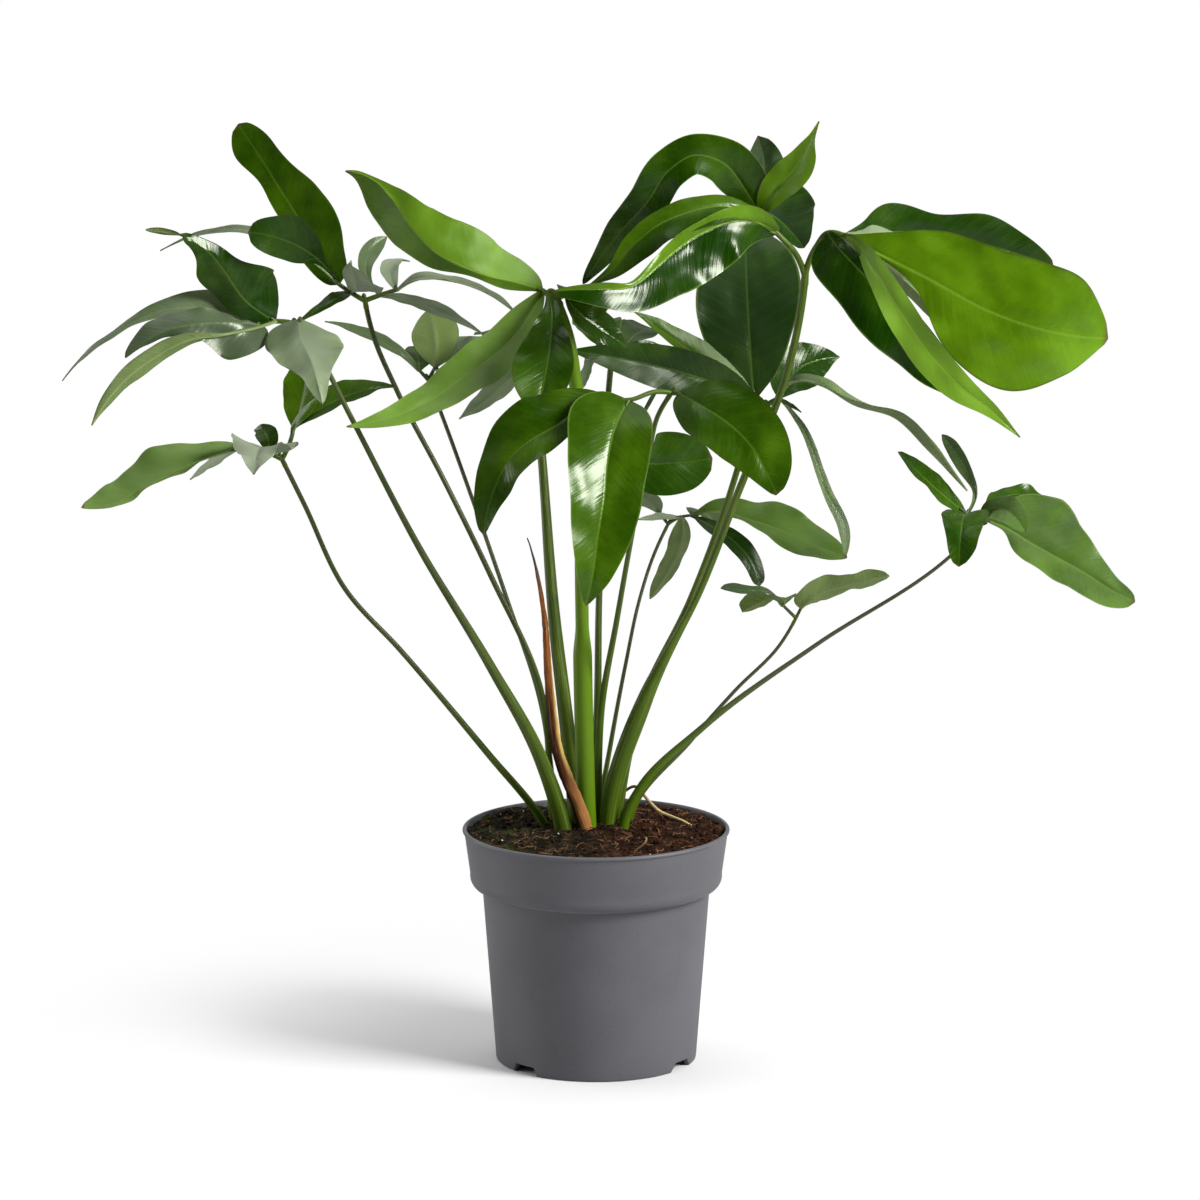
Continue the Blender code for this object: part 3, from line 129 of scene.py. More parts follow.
LEAVES = {
    "left_low": Leaf(
        petiole=((-24, 7, 134), (-36, 5, 156), (-67, -4, 197), (-123, -16, 268), (-157, -22, 308),
            (-182, -27, 363), (-194, -30, 389)),
        radii=(2.9, 1.5),
        arms=(((-203, -32, 396), (-221, -34, 400)), ((-190, -30, 404), (-188, -30, 412))),
        leaflets=(
            Leaflet((0, 1), ((-252, -42, 391), (-280, -50, 378), (-301, -56, 368), (-318, -60, 367)),
                24, (-0.1, -0.6, 0.8), fold=(0.3, 0.1), tone=0.65, bloom=0.25,
                sides=((2, 2.5, 3, 3.5, 4, 4, 2.5), (6, 11, 19, 23, 17, 13, 6))),
            Leaflet((0, 0), ((-208, -58, 403), (-210, -80, 391)), 17, (0, -0.35, 1.0), wave=0.2,
                bloom=0.9, sides=((12, 20, 20, 16, 11, 6, 2), (9, 16, 20, 17, 12, 7, 2))),
            Leaflet((0, 0), ((-207, -20, 408), (-214, -10, 407)), 7, (0, -0.8, 0.5), tone=0.1),
            Leaflet((0, 1), ((-238, -18, 389), (-255, -4, 375)), 6, (-0.3, -0.6, 0.7), bloom=0.8),
            Leaflet((1, 1), ((-183, -24, 432), (-179, -14, 460)), 13, (-0.4, -0.85, 0.2), fold=0.15,
                tone=0.3, belly=0.5),
            Leaflet((1, 1), ((-156, -20, 430), (-124, -5, 434)), 11, (0.1, -0.4, 0.9), fold=0.4,
                tone=0.15, bloom=-0.3),
            Leaflet((1, 0), ((-182, -42, 423), (-166, -50, 438)), 3, (0, -0.6, 0.8)),
        ),
    ),
    "left_front": Leaf(
        petiole=((-18, -4, 134), (-21, -6, 152), (-35, -14, 198), (-66, -28, 260), (-109, -44, 337),
            (-152, -58, 425), (-170, -64, 462), (-181, -66, 479)),
        radii=(6.3, 1.6),
        arms=(((-196, -68, 484), (-205, -70, 483)), ((-181, -70, 486),)),
        leaflets=(
            Leaflet((0, 0), ((-210, -76, 494), (-238, -92, 532), (-254, -98, 542), (-272, -104, 545)),
                21, (-0.35, -0.9, 0.25), turn=(-0.3, 0.6, 0.8), turning=(0.68, 0.9), fold=(0.1, -0.42),
                tone=0.05, sides=((4, 8, 13, 16, 5, 2.5, 1.5), (13, 22, 22, 9, 4, 3, 2))),
            Leaflet((0, 1), ((-221, -74, 489), (-243, -78, 494), (-269, -82, 491), (-294, -80, 479),
                (-312, -74, 465), (-328, -66, 447)), 14, (0, -0.9, 0.4), fold=(0.3, -0.2),
                turn=(-0.1, -0.45, 0.9), turning=(0.3, 0.8), tone=0.25, bloom=0.4,
                sides=((2, 3, 4, 4, 5, 4, 1.2), (7, 14, 11, 6, 5, 4, 2))),
            Leaflet((0, 1), ((-216, -88, 486), (-238, -98, 487), (-262, -106, 483), (-285, -112, 468)),
                20, (-0.2, -0.75, 0.62), wave=0.1, fold=(-0.5, -0.1), tone=0.05, bloom=0.3,
                sides=((8, 17, 20, 9, 3, 2, 1), (3, 4, 8, 12, 13, 9, 4))),
            Leaflet((0, 0), ((-225, -96, 480), (-246, -104, 478), (-267, -110, 468), (-284, -116, 456),
                (-295, -120, 444), (-305, -122, 428)), 7, (-0.4, 0.8, 0.3), tone=0.45, bloom=0.2,
                sides=((1, 1, 1.5, 5.5, 7, 4.5, 1.4), (1, 1, 1.5, 5.5, 7, 4.5, 1.4))),
            Leaflet((1, 0), ((-179, -96, 478), (-172, -114, 466), (-165, -128, 442)), 26,
                (0.15, -0.5, 0.85), fold=(-0.15, -0.4), wave=0.05, bow=0.2, tone=0.3, bloom=0.6,
                sides=((10, 20, 26, 24, 13, 7, 3), (10, 18, 21, 18, 10, 6, 2))),
        ),
    ),
    "left_back": Leaf(
        petiole=((-26, 18, 134), (-28, 18, 154), (-36, 20, 238), (-67, 22, 309), (-97, 25, 371),
            (-126, 28, 427), (-141, 30, 463), (-145, 30, 480)),
        radii=(2.4, 1.6),
        arms=(((-155, 30, 489), (-162, 30, 494)), ((-136, 30, 487), (-126, 32, 490))),
        leaflets=(
            Leaflet((0, 1), ((-191, 45, 539), (-226, 60, 592)), 22, (-0.3, -0.95, 0.1),
                fold=(0.2, -0.1), tone=0.2, wave=0.04, sides=((7, 11, 12, 10, 9, 13, 8),
                (9, 15, 22, 21, 14, 12, 7))),
            Leaflet((0, 1), ((-173, 12, 511), (-188, 0, 523), (-216, -12, 532)), 17, (-0.2, -0.95, 0.1),
                tone=0.04, wave=0.04, fold=(0.1, 0.05), sides=((1.2, 1.4, 3, 10, 12, 11, 7),
                (1.2, 1.4, 3, 12, 17, 12, 7))),
            Leaflet((0, 1), ((-219, 24, 529), (-275, 40, 514)), 4, (0, -0.5, 0.8), bloom=0.5),
            Leaflet((1, 0), ((-146, 50, 504), (-133, 70, 519)), 6, (0.2, -0.8, 0.5), tone=0.12,
                bloom=0.25, sides=((1.2, 1.4, 3, 5, 6, 5, 2), (1.2, 1.4, 3, 5, 6, 5, 2))),
            Leaflet((0, 0), ((-150, 4, 498), (-153, -14, 512)), 13, (0.5, -0.25, 0.8), fold=0.5,
                bloom=1.0, tone=0.3, sides=((4, 9, 14, 15, 14, 10, 5), (4, 9, 13, 13, 11, 8, 4))),
            Leaflet((1, 1), ((-130, 60, 503), (-119, 82, 502)), 6, (0, -0.3, 1.0), bloom=0.9),
            Leaflet((0, 0), ((-163, 4, 488), (-188, -14, 474)), 5, (0, -0.5, 0.9), tone=0.1),
            Leaflet((1, 1), ((-112, 26, 498), (-88, 28, 496), (-51, 30, 476)), 8, (0, -0.3, 1.0),
                bloom=0.9, tone=0.3, fold=0.3, sides=((2, 4, 5, 4, 4, 4, 1.5),
                (2, 5, 8, 6, 4, 4, 1.5))),
            Leaflet((1, 0), ((-104, 6, 482), (-70, -10, 468)), 7, (0, -0.35, 0.9), bloom=0.5,
                tone=0.25),
        ),
    ),
    "left_small": Leaf(
        petiole=((-24, 29, 134), (-26, 30, 152), (-35, 42, 220), (-57, 70, 283), (-85, 106, 357),
            (-99, 125, 392), (-108, 134, 414)),
        radii=(2.1, 1.3),
        arms=(((-105, 138, 425),), ((-115, 132, 424),)),
        leaflets=(
            Leaflet((0, 0), ((-105, 142, 444), (-109, 150, 462)), 16, (0.1, 0.9, 0.3), belly=0.55,
                fold=0.1, wave=0.03, tone=0.95, bloom=0.3),
            Leaflet((1, 0), ((-137, 122, 443), (-175, 112, 459)), 7, (0.2, -0.4, 0.9), tone=0.2,
                bloom=0.3),
            Leaflet((0, 0), ((-97, 117, 427), (-89, 106, 441)), 5, (0.2, -0.6, 0.8), bloom=0.6),
            Leaflet((0, 0), ((-83, 158, 438), (-63, 172, 440)), 9, (0, -0.3, 1.0), bloom=0.5),
            Leaflet((1, 0), ((-118, 156, 432), (-123, 172, 434)), 10, (0, -0.2, 1.0)),
        ),
    ),
    "centre_low": Leaf(
        petiole=((-12, 10, 134), (-13, 10, 156), (-17, 14, 198), (-27, 24, 285), (-34, 40, 377),
            (-37, 47, 412), (-38, 50, 432)),
        radii=(5.0, 2.7),
        arms=(((-46, 52, 440),), ((-30, 54, 443),)),
        leaflets=(
            Leaflet((0, 0), ((-62, 50, 424), (-87, 44, 406)), 9, (0, -0.5, 0.8), bloom=0.5),
            Leaflet((0, 0), ((-60, 112, 448), (-80, 166, 443)), 15, (0, -0.2, 1.0)),
            Leaflet((1, 0), ((-33, 116, 446), (-30, 168, 438)), 16, (0, -0.2, 1.0)),
            Leaflet((1, 0), ((-27, 66, 418), (-22, 72, 392)), 9, (0.2, -0.8, 0.5), tone=0.2),
        ),
    ),
    "centre_tall": Leaf(
        petiole=((-5, -2, 134), (-6, -3, 158), (-8, -7, 235), (-9, -12, 304), (-10, -16, 377),
            (-13, -19, 440), (-19, -20, 472), (-25, -20, 488)),
        radii=(6.0, 4.2),
        arms=(((-33, -23, 497),), ((-19, -22, 494),)),
        leaflets=(
            # Its darker left tone, on the lower half, is painted shade.
            Leaflet((0, 0), ((-49, -30, 503), (-68, -36, 508), (-84, -40, 515), (-99, -40, 523),
                (-114, -36, 538), (-127, -30, 556), (-136, -26, 565), (-155, -20, 571)), 25,
                (-0.3, -0.85, 0.45), fold=(-0.9, 0.0), bow=0.2, wave=0.01, tone=(0.42, 0.72),
                bloom=-0.8, sides=((2, 4.5, 3, 10, 17, 14, 3), (9, 17, 25, 24, 14, 3, 1.5))),
            Leaflet((0, 0), ((-53, -45, 469), (-80, -65, 450), (-111, -82, 432), (-152, -95, 423)), 17,
                (-0.2, -0.8, 0.55), tone=0.7, fold=(0.1, 0.2), wave=0.1, bloom=0.15,
                sides=((4, 9, 15, 16, 10, 6, 2), (5, 12, 15, 14, 11, 6, 2))),
            Leaflet((0, 0), ((-27, -56, 488), (-28, -72, 471), (-31, -88, 453), (-36, -100, 430)), 20,
                (0.1, -0.85, 0.5), fold=(0.25, 0.15), tone=0.17, sides=((1, 2, 5, 11, 16, 13, 5),
                (1, 2, 6, 14, 21, 18, 7))),
            Leaflet((1, 0), ((-8, -24, 481), (4, -20, 472), (19, -12, 460)), 10, (0.3, -0.85, 0.4),
                tone=0.15, sides=((2, 6, 9, 10, 9, 5, 1.5), (2, 5, 8, 9, 8, 5, 2))),
            Leaflet((1, 0), ((-4, 50, 484), (2, 110, 458)), 16, (0, -0.2, 1.0)),
        ),
    ),
    "front": Leaf(
        petiole=((1, 13, 134), (1, 12, 156), (3, 0, 223), (13, -30, 290), (25, -70, 366),
            (33, -96, 410), (38, -105, 432), (44, -108, 443)),
        radii=(3.2, 1.5),
        arms=(((36, -112, 447), (20, -118, 443), (8, -118, 444)), ((50, -112, 446),)),
        leaflets=(
            Leaflet((0, 1), ((11, -136, 427), (7, -147, 410), (5, -156, 390), (1, -164, 366),
                (-2, -168, 343), (-6, -168, 326)), 28, (-0.2, -0.9, 0.35), turn=(0.22, -0.9, 0.3),
                turning=(0.1, 0.55), fold=(0.1, 0.3), tone=0.25, wave=0.04,
                sides=((14, 23, 25, 23, 20, 12, 4), (17, 28, 25, 23, 17, 11, 4))),
            Leaflet((0, 2), ((-9, -126, 439), (-25, -132, 429), (-41, -136, 420), (-53, -138, 409),
                (-60, -138, 395), (-68, -134, 363)), 24, (-0.3, -0.8, 0.5), tone=0.22, fold=0.1,
                sides=((4, 8, 12, 15, 12, 7, 3), (6, 16, 25, 24, 16, 10, 5))),
            Leaflet((1, 0), ((66, -138, 441), (80, -148, 433), (93, -156, 421), (100, -160, 410),
                (108, -162, 392)), 21, (-0.1, -0.85, 0.5), tone=0.17, fold=0.05, wave=0.05,
                sides=((6, 15, 23, 25, 23, 17, 8), (6, 13, 19, 20, 17, 10, 4))),
            Leaflet((0, 0), ((26, -92, 424), (20, -76, 405), (30, -66, 396), (50, -61, 395),
                (72, -56, 397)), 18, (-0.2, -0.95, 0.05), tone=0.05, fold=0.1, wave=0.03,
                sides=((1.2, 1.3, 1.4, 8, 19, 18, 10), (1.2, 1.3, 1.4, 9, 19, 18, 10))),
        ),
    ),
    "centre_back": Leaf(
        petiole=((-1, 26, 134), (-1, 26, 152), (1, 29, 227), (2, 38, 294), (6, 52, 365), (8, 65, 421),
            (10, 70, 441)),
        radii=(3.2, 1.9),
        arms=(((2, 73, 449),), ((18, 73, 448),)),
        leaflets=(
            Leaflet((1, 0), ((38, 76, 440), (64, 86, 426)), 11, (0, -0.6, 0.7)),
            Leaflet((0, 0), ((-5, 92, 430), (-15, 100, 411)), 8, (-0.2, -0.6, 0.7), bloom=0.3),
            Leaflet((0, 0), ((0, 122, 456), (-5, 171, 448)), 16, (0, -0.2, 1.0)),
            Leaflet((1, 0), ((32, 124, 452), (46, 171, 441)), 15, (0.1, -0.2, 1.0)),
        ),
    ),
    "right_mid": Leaf(
        petiole=((1, 37, 134), (2, 37, 150), (9, 42, 193), (19, 54, 245), (28, 67, 285), (38, 82, 313),
            (45, 89, 327)),
        radii=(2.2, 1.1),
        arms=(((55, 93, 334), (62, 93, 335)), ((41, 89, 337),)),
        leaflets=(
            Leaflet((0, 0), ((41, 80, 336), (26, 70, 337)), 5, (0, -0.3, 1.0), bloom=1.0, tone=0.6),
            Leaflet((1, 0), ((33, 104, 343), (22, 118, 345)), 7, (0, -0.6, 0.8), bloom=0.5),
            Leaflet((0, 1), ((84, 84, 339), (95, 80, 336), (116, 74, 330), (138, 68, 321),
                (161, 62, 313)), 18, (0.1, -0.65, 0.7), tone=0.42, bloom=0.15, fold=0.1,
                sides=((3, 9, 14, 19, 17, 12, 6), (1.2, 2, 3, 9, 13, 10, 4))),
            Leaflet((0, 1), ((75, 80, 330), (87, 74, 323), (98, 68, 312), (105, 64, 294)), 7,
                (0.3, -0.7, 0.4), tone=0.05, fold=0.15, bloom=-0.5, sides=((1, 3.5, 6, 7, 7, 6, 4),
                (1, 3.5, 6, 7, 7, 6, 4))),
            Leaflet((0, 0), ((55, 98, 316), (47, 104, 297), (35, 110, 277)), 8, (-0.4, 0.8, 0.2),
                tone=0.6, bloom=0.3, sides=((3, 7, 9, 8, 7, 5, 2), (3, 6, 7, 7, 6, 4, 2))),
            Leaflet((0, 1), ((72, 130, 330), (78, 168, 312)), 11, (0, -0.3, 1.0)),
        ),
    ),
    "right_tall": Leaf(
        petiole=((7, 4, 134), (8, 3, 157), (31, -4, 234), (65, -12, 305), (93, -20, 380),
            (114, -25, 431), (123, -28, 464), (129, -30, 503)),
        radii=(5.7, 2.4),
        arms=(((124, -32, 520), (112, -36, 534), (100, -40, 547)), ((136, -35, 526), (143, -40, 535),
            (152, -43, 534))),
        leaflets=(
            Leaflet((0, 2), ((91, -42, 563), (78, -47, 579), (60, -50, 584), (45, -50, 575),
                (32, -44, 555), (15, -26, 534), (-8, 0, 498)), 18, (-0.2, -0.95, 0.15),
                turn=(0.3, -1.0, 0.0), turning=(0.35, 0.65), tone=0.12, fold=0.1, wave=0.06,
                sides=((5, 13, 12, 12, 13, 8, 3), (12, 17, 13, 13, 11, 6, 3))),
            Leaflet((0, 2), ((104, -10, 574), (101, 16, 589)), 14, (-0.2, -0.95, 0.1), tone=0.1),
            Leaflet((0, 2), ((111, -48, 564), (122, -54, 577), (129, -58, 591), (136, -62, 606)), 11,
                (-0.3, -0.95, 0.1), fold=(0.1, 0.3), tone=0.95, sides=((3, 7, 10, 10, 6, 2, 0.8),
                (3, 7, 10, 12, 10, 3, 0.8))),
            Leaflet((0, 2), ((112, -14, 541), (130, 5, 520)), 26, (-0.1, -0.98, 0.1), tone=0.03,
                sides=((12, 20, 25, 25, 20, 12, 5), (5, 9, 10, 9, 7, 5, 3))),
            Leaflet((0, 1), ((76, -52, 553), (54, -58, 549), (37, -62, 542), (25, -62, 532),
                (8, -60, 513), (-4, -56, 505)), 12, (0.1, -0.75, 0.6), tone=(0.22, 0.34), bloom=-0.3,
                fold=0.12, sides=((3, 6, 12, 14, 13, 7, 2), (3, 5, 8, 9, 8, 4, 1.5))),
            Leaflet((0, 1), ((83, -56, 544), (67, -62, 538.5), (52, -70, 530.4), (39, -82, 521),
                (21, -96, 509), (2, -105, 508.7), (-16, -105, 508.2), (-26, -103, 507)), 27,
                (-0.25, -0.95, 0.2), turn=(0.3, -0.85, 0.42), turning=(0.25, 0.5), fold=(0.0, 0.6),
                tone=(0.0, 0.55), sides=((8, 18, 26, 26, 17, 10, 5), (5, 9, 7, 6, 3, 3, 1.5))),
            Leaflet((1, 2), ((165, -50, 528), (203, -62, 510), (242, -72, 490), (279, -73, 478),
                (315, -58, 472)), 42, (-0.3, -0.85, 0.4), turn=(-0.5, -0.9, 0.1), turning=(0.4, 1.0),
                fold=(0.05, -0.1), wave=0.04, bow=-0.3, tone=0.5, sides=((4, 15, 31, 37, 40, 36, 17),
                (1.5, 2, 9, 33, 42, 26, 8))),
            Leaflet((1, 2), ((166, -14, 531), (196, 6, 530), (236, 22, 522), (288, 32, 505)), 20,
                (-0.3, -0.95, 0.1), wave=0.04, tone=0.03, sides=((1.5, 6, 18, 13, 19, 13, 6),
                (1.5, 5, 12, 12, 12, 9, 4))),
            Leaflet((1, 2), ((162, -70, 530), (172, -90, 514), (184, -100, 495), (201, -108, 471),
                (220, -114, 451), (241, -118, 435), (257, -118, 420)), 10, (-0.35, -0.9, 0.2), fold=0.1,
                bow=0.0, tone=0.95, bloom=0.12, sides=((1.5, 4, 8, 9.5, 9, 5, 1.5),
                (1.5, 4, 7.5, 10.5, 11, 5, 1.5))),
            Leaflet((1, 1), ((147, -62, 530), (170, -78, 507), (190, -86, 486), (213, -90, 458),
                (243, -94, 431)), 24, (-0.5, -0.8, 0.35), tone=0.06, fold=0.1,
                sides=((3, 6, 8, 9, 8, 5, 2), (12, 21, 23, 25, 19, 9, 3))),
            Leaflet((1, 2), ((164, -30, 531), (180, -14, 532), (196, 4, 525)), 8, (0, -0.3, 1.0),
                bloom=0.6, tone=0.4),
            Leaflet((1, 1), ((205, 2, 489), (234, 10, 451)), 12, (0.2, 0.7, 0.6), bloom=0.3),
        ),
    ),
    "right_back": Leaf(
        petiole=((12, 23, 134), (14, 22, 155), (30, 27, 227), (60, 35, 290), (84, 47, 353),
            (95, 54, 386), (105, 59, 408)),
        radii=(4.0, 2.0),
        arms=(((101, 62, 416),), ((117, 60, 417),)),
        leaflets=(
            Leaflet((0, 0), ((97, 78, 471), (96, 112, 520)), 34, (-0.05, -0.95, 0.3), tone=0.0,
                bloom=0.06, fold=0.1, wave=0.04, sides=((6, 16, 28, 33, 30, 22, 10),
                (6, 17, 26, 33, 34, 26, 12))),
            Leaflet((1, 0), ((134, 86, 434), (157, 102, 437)), 16, (-0.1, -0.95, 0.2), tone=0.05),
            Leaflet((0, 0), ((63, 54, 446), (23, 48, 475)), 10, (0.3, -0.6, 0.6), fold=0.4, tone=0.45,
                bloom=-0.5),
            Leaflet((0, 0), ((42, 30, 441), (-18, 16, 454)), 15, (-0.3, -0.9, 0.2), tone=0.04,
                bloom=-0.4),
            Leaflet((1, 0), ((128, 44, 431), (143, 36, 429), (163, 30, 418), (189, 18, 411),
                (209, 10, 392), (234, 6, 366)), 5, (0.1, -0.5, 0.8), turn=(0.5, 0.6, 0.5), tone=0.5,
                bloom=0.5, fold=0.5, sides=((1.5, 4, 5.5, 4, 5, 5, 1.5), (1.5, 3.5, 4, 5, 7, 4, 1.5))),
            Leaflet((1, 0), ((130, 46, 402), (147, 32, 359), (157, 28, 338), (158, 26, 320)), 4,
                (0.4, -0.7, 0.5), tone=0.4, bloom=0.6, sides=((1.2, 2, 3, 3.5, 4, 4, 2),
                (1.2, 2, 3, 3.5, 4, 4, 2))),
            Leaflet((1, 0), ((123, 50, 414), (130, 40, 411)), 2, (0, -0.5, 0.8)),
        ),
    ),
    "right_low": Leaf(
        petiole=((16, -1, 134), (19, -1, 157), (29, -2, 177), (66, -2, 214), (140, 4, 268),
            (222, 9, 322), (234, 10, 333)),
        radii=(3.9, 1.15),
        arms=(((242, 10, 343), (246, 9, 347)), ((234, 13, 350),)),
        leaflets=(
            Leaflet((0, 1), ((258, 3, 343), (271, -8, 336.5), (287, -21, 329), (304, -30, 321),
                (321, -37, 311), (336, -42, 304)), 30, (0.1, -0.75, 0.6), tone=0.3, fold=(0.15, 0.1),
                wave=0.05, bloom=0.1, sides=((14, 30, 36, 26, 16, 9, 5), (2, 4, 13, 15, 15, 14, 8))),
            Leaflet((0, 0), ((256, -14, 357), (268, -30, 346)), 10, (0, -0.8, 0.6), belly=0.55,
                tone=0.25, bloom=0.1),
            Leaflet((1, 0), ((211, 0, 371), (189, -20, 395)), 8, (0.4, -0.7, 0.5), tone=0.15,
                sides=((2, 5, 7, 6, 5, 4, 2), (2, 5, 8, 8, 7, 4, 2))),
            Leaflet((1, 0), ((240, 20, 361), (233, 26, 378), (219, 30, 398)), 5, (-0.5, -0.7, 0.3),
                tone=0.3, bloom=0.3, sides=((1, 1.3, 2, 4, 5, 4, 2), (1, 1.3, 2, 4, 5, 5, 2.5))),
            Leaflet((1, 0), ((228, -26, 345), (226, -40, 326)), 14, (-0.1, -0.6, 0.8), tone=0.1,
                sides=((6, 12, 16, 15, 12, 10, 5), (6, 12, 14, 12, 9, 7, 4))),
            Leaflet((0, 1), ((268, 40, 358), (285, 50, 352), (306, 66, 340)), 8, (0, -0.5, 0.85),
                wave=0.25, tone=0.1),
        ),
    ),
    "right_small": Leaf(
        petiole=((20, 14, 134), (23, 15, 156), (60, 22, 201), (89, 29, 233), (118, 36, 262),
            (126, 38, 275)),
        radii=(2.4, 1.1),
        arms=(((131, 38, 285),), ((119, 36, 287),)),
        leaflets=(
            Leaflet((0, 0), ((133, 32, 289), (151, 26, 300), (168, 22, 305), (186, 20, 309)), 13,
                (-0.1, 0.7, 0.6), tone=0.7, bloom=0.2, sides=((3, 8, 9, 10, 10, 8, 4),
                (4, 9, 12, 10, 8, 7, 4))),
            Leaflet((1, 0), ((111, 26, 297), (97, 16, 300), (79, 10, 303)), 5, (0, -0.4, 0.9), tone=0.1,
                bloom=0.15, sides=((2, 3, 4, 4, 5, 5, 3), (2, 3, 4, 4, 5, 5, 3))),
            Leaflet((1, 0), ((110, 54, 288), (103, 60, 283), (94, 66, 277)), 9, (-0.1, 0.7, 0.6),
                tone=0.4, sides=((1.5, 3, 6, 9, 10, 8, 5), (1.5, 3, 5, 6, 6, 5, 3))),
            Leaflet((1, 0), ((120, 10, 297), (118, -8, 298)), 7, (0, -0.4, 0.9), tone=0.3),
        ),
    ),
}

SHEATH_PATH = ((-5, -12, 137), (-8, -12.5, 152), (-13, -13.5, 168), (-19, -15, 183),
               (-25, -17, 201), (-29, -20, 229), (-31, -23.5, 256), (-33, -27, 292),
               (-36, -30, 313), (-40, -33, 333), (-43, -35, 343))
SHEATH_HALF_WIDTH = 4.6
SHEATH_FACE = (-0.35, -0.9, 0.1)
SHEATH_THICKNESS = 0.0006
SHEATH_ROWS, SHEATH_COLUMNS = 110, 14

# Each root's path and its radius in metres, and how pale its far part is.
ROOTS = {
    "root_arch": (
        ((13, 45, 140), (15, 44, 157), (19, 43, 164), (25, 42, 167), (30, 42, 162), (35, 43, 156),
         (40, 41, 151.5), (45, 35, 150.2), (51, 27, 149.7), (57, 20, 148.6), (62, 15, 146.6)),
        0.0009, 0.95),
    "root_front": (
        ((22, -66, 147), (24.4, -61.8, 149.2), (28.2, -51, 149.6), (31.3, -38, 149.8),
         (31.5, -27, 149.6), (29.7, -19, 147)),
        0.0006, 0.35),
}


# ------------------------------------------------------------------------------ geometry
def unit(vectors):
    return vectors / np.linalg.norm(vectors, axis=-1, keepdims=True)


def millimetres(points):
    return [np.array(p, float) * MM for p in points]


def path_length(points):
    return sum(np.linalg.norm(b - a) for a, b in zip(points, points[1:]))


def pair(value):
    """A left and a right value, from one number or two."""
    return value if isinstance(value, tuple) else (value, value)


def smoothstep(value, low, high):
    share = np.clip((value - low) / (high - low), 0.0, 1.0)
    return share * share * (3 - 2 * share)


def hermite(t, p0, p1, m0, m1):
    """A cubic from p0 to p1 with the slopes m0 and m1."""
    made = (2 * t**3 - 3 * t**2 + 1) * p0 + (t**3 - 2 * t**2 + t) * m0
    return made + (3 * t**2 - 2 * t**3) * p1 + (t**3 - t**2) * m1


def smooth_path(points, count):
    """count + 1 places along a smooth curve through the points, and its directions."""
    points = np.asarray(points, float)
    lengths = np.linalg.norm(np.diff(points, axis=0), axis=1)
    slopes = np.empty_like(points)
    chords = np.diff(points, axis=0) / lengths[:, None]
    before, after = lengths[:-1, None], lengths[1:, None]
    slopes[1:-1] = (chords[:-1] * after + chords[1:] * before) / (before + after)
    if len(points) > 2:
        slopes[0] = 2 * chords[0] - slopes[1]
        slopes[-1] = 2 * chords[-1] - slopes[-2]
    else:
        slopes[:] = chords[0]
    knots = np.concatenate([[0.0], np.cumsum(lengths)])
    places = np.linspace(0.0, knots[-1], count + 1)
    span = np.clip(np.searchsorted(knots, places, side="right") - 1, 0, len(lengths) - 1)
    h = lengths[span][:, None]
    t = (places - knots[span])[:, None] / h
    p0, p1, m0, m1 = points[span], points[span + 1], slopes[span] * h, slopes[span + 1] * h
    along = (6 * t**2 - 6 * t) * (p0 - p1) + (3 * t**2 - 4 * t + 1) * m0 + (3 * t**2 - 2 * t) * m1
    return hermite(t, p0, p1, m0, m1), unit(along)


def side_widths(values, u):
    """Half widths through a leaflet's stations, which are closer together near its ends."""
    knots = np.concatenate([[0.0], values, [0.0]])
    slopes = np.gradient(knots)
    place = np.arccos(np.clip(1 - 2 * u, -1, 1)) / math.pi * STATIONS
    k = np.clip(place.astype(int), 0, STATIONS - 1)
    return hermite(place - k, knots[k], knots[k + 1], slopes[k], slopes[k + 1])


def half_widths(leaflet, u):
    """A leaflet's left and right half widths, in metres, at the shares u of its length."""
    if leaflet.sides is None:
        fall = PROFILE_RISE * (1 - leaflet.belly) / leaflet.belly
        even = (u / leaflet.belly) ** PROFILE_RISE * ((1 - u) / (1 - leaflet.belly)) ** fall
        widths = pair(even * leaflet.half_width * MM)
    else:
        widths = [side_widths(side, u) * MM for side in leaflet.sides]
    narrowest = STALK_HALF_WIDTH + (TIP_HALF_WIDTH - STALK_HALF_WIDTH) * u
    return [np.maximum(side, narrowest)[:, None] for side in widths]


def carried_frames(along):
    """Two directions across a path that turn as little as possible along it."""
    side = np.cross(along[0], FIRST_SIDE)
    sides = []
    for direction in along:
        side = side - direction * np.dot(side, direction)
        side = side / np.linalg.norm(side)
        sides.append(side)
    sides = np.array(sides)
    return sides, np.cross(along, sides)


def facing_frames(along, face):
    """The directions to the right and out of the upper side of a blade that looks to face."""
    up = unit(face - along * np.sum(face * along, axis=1, keepdims=True))
    return np.cross(along, up)[:, None], up[:, None]


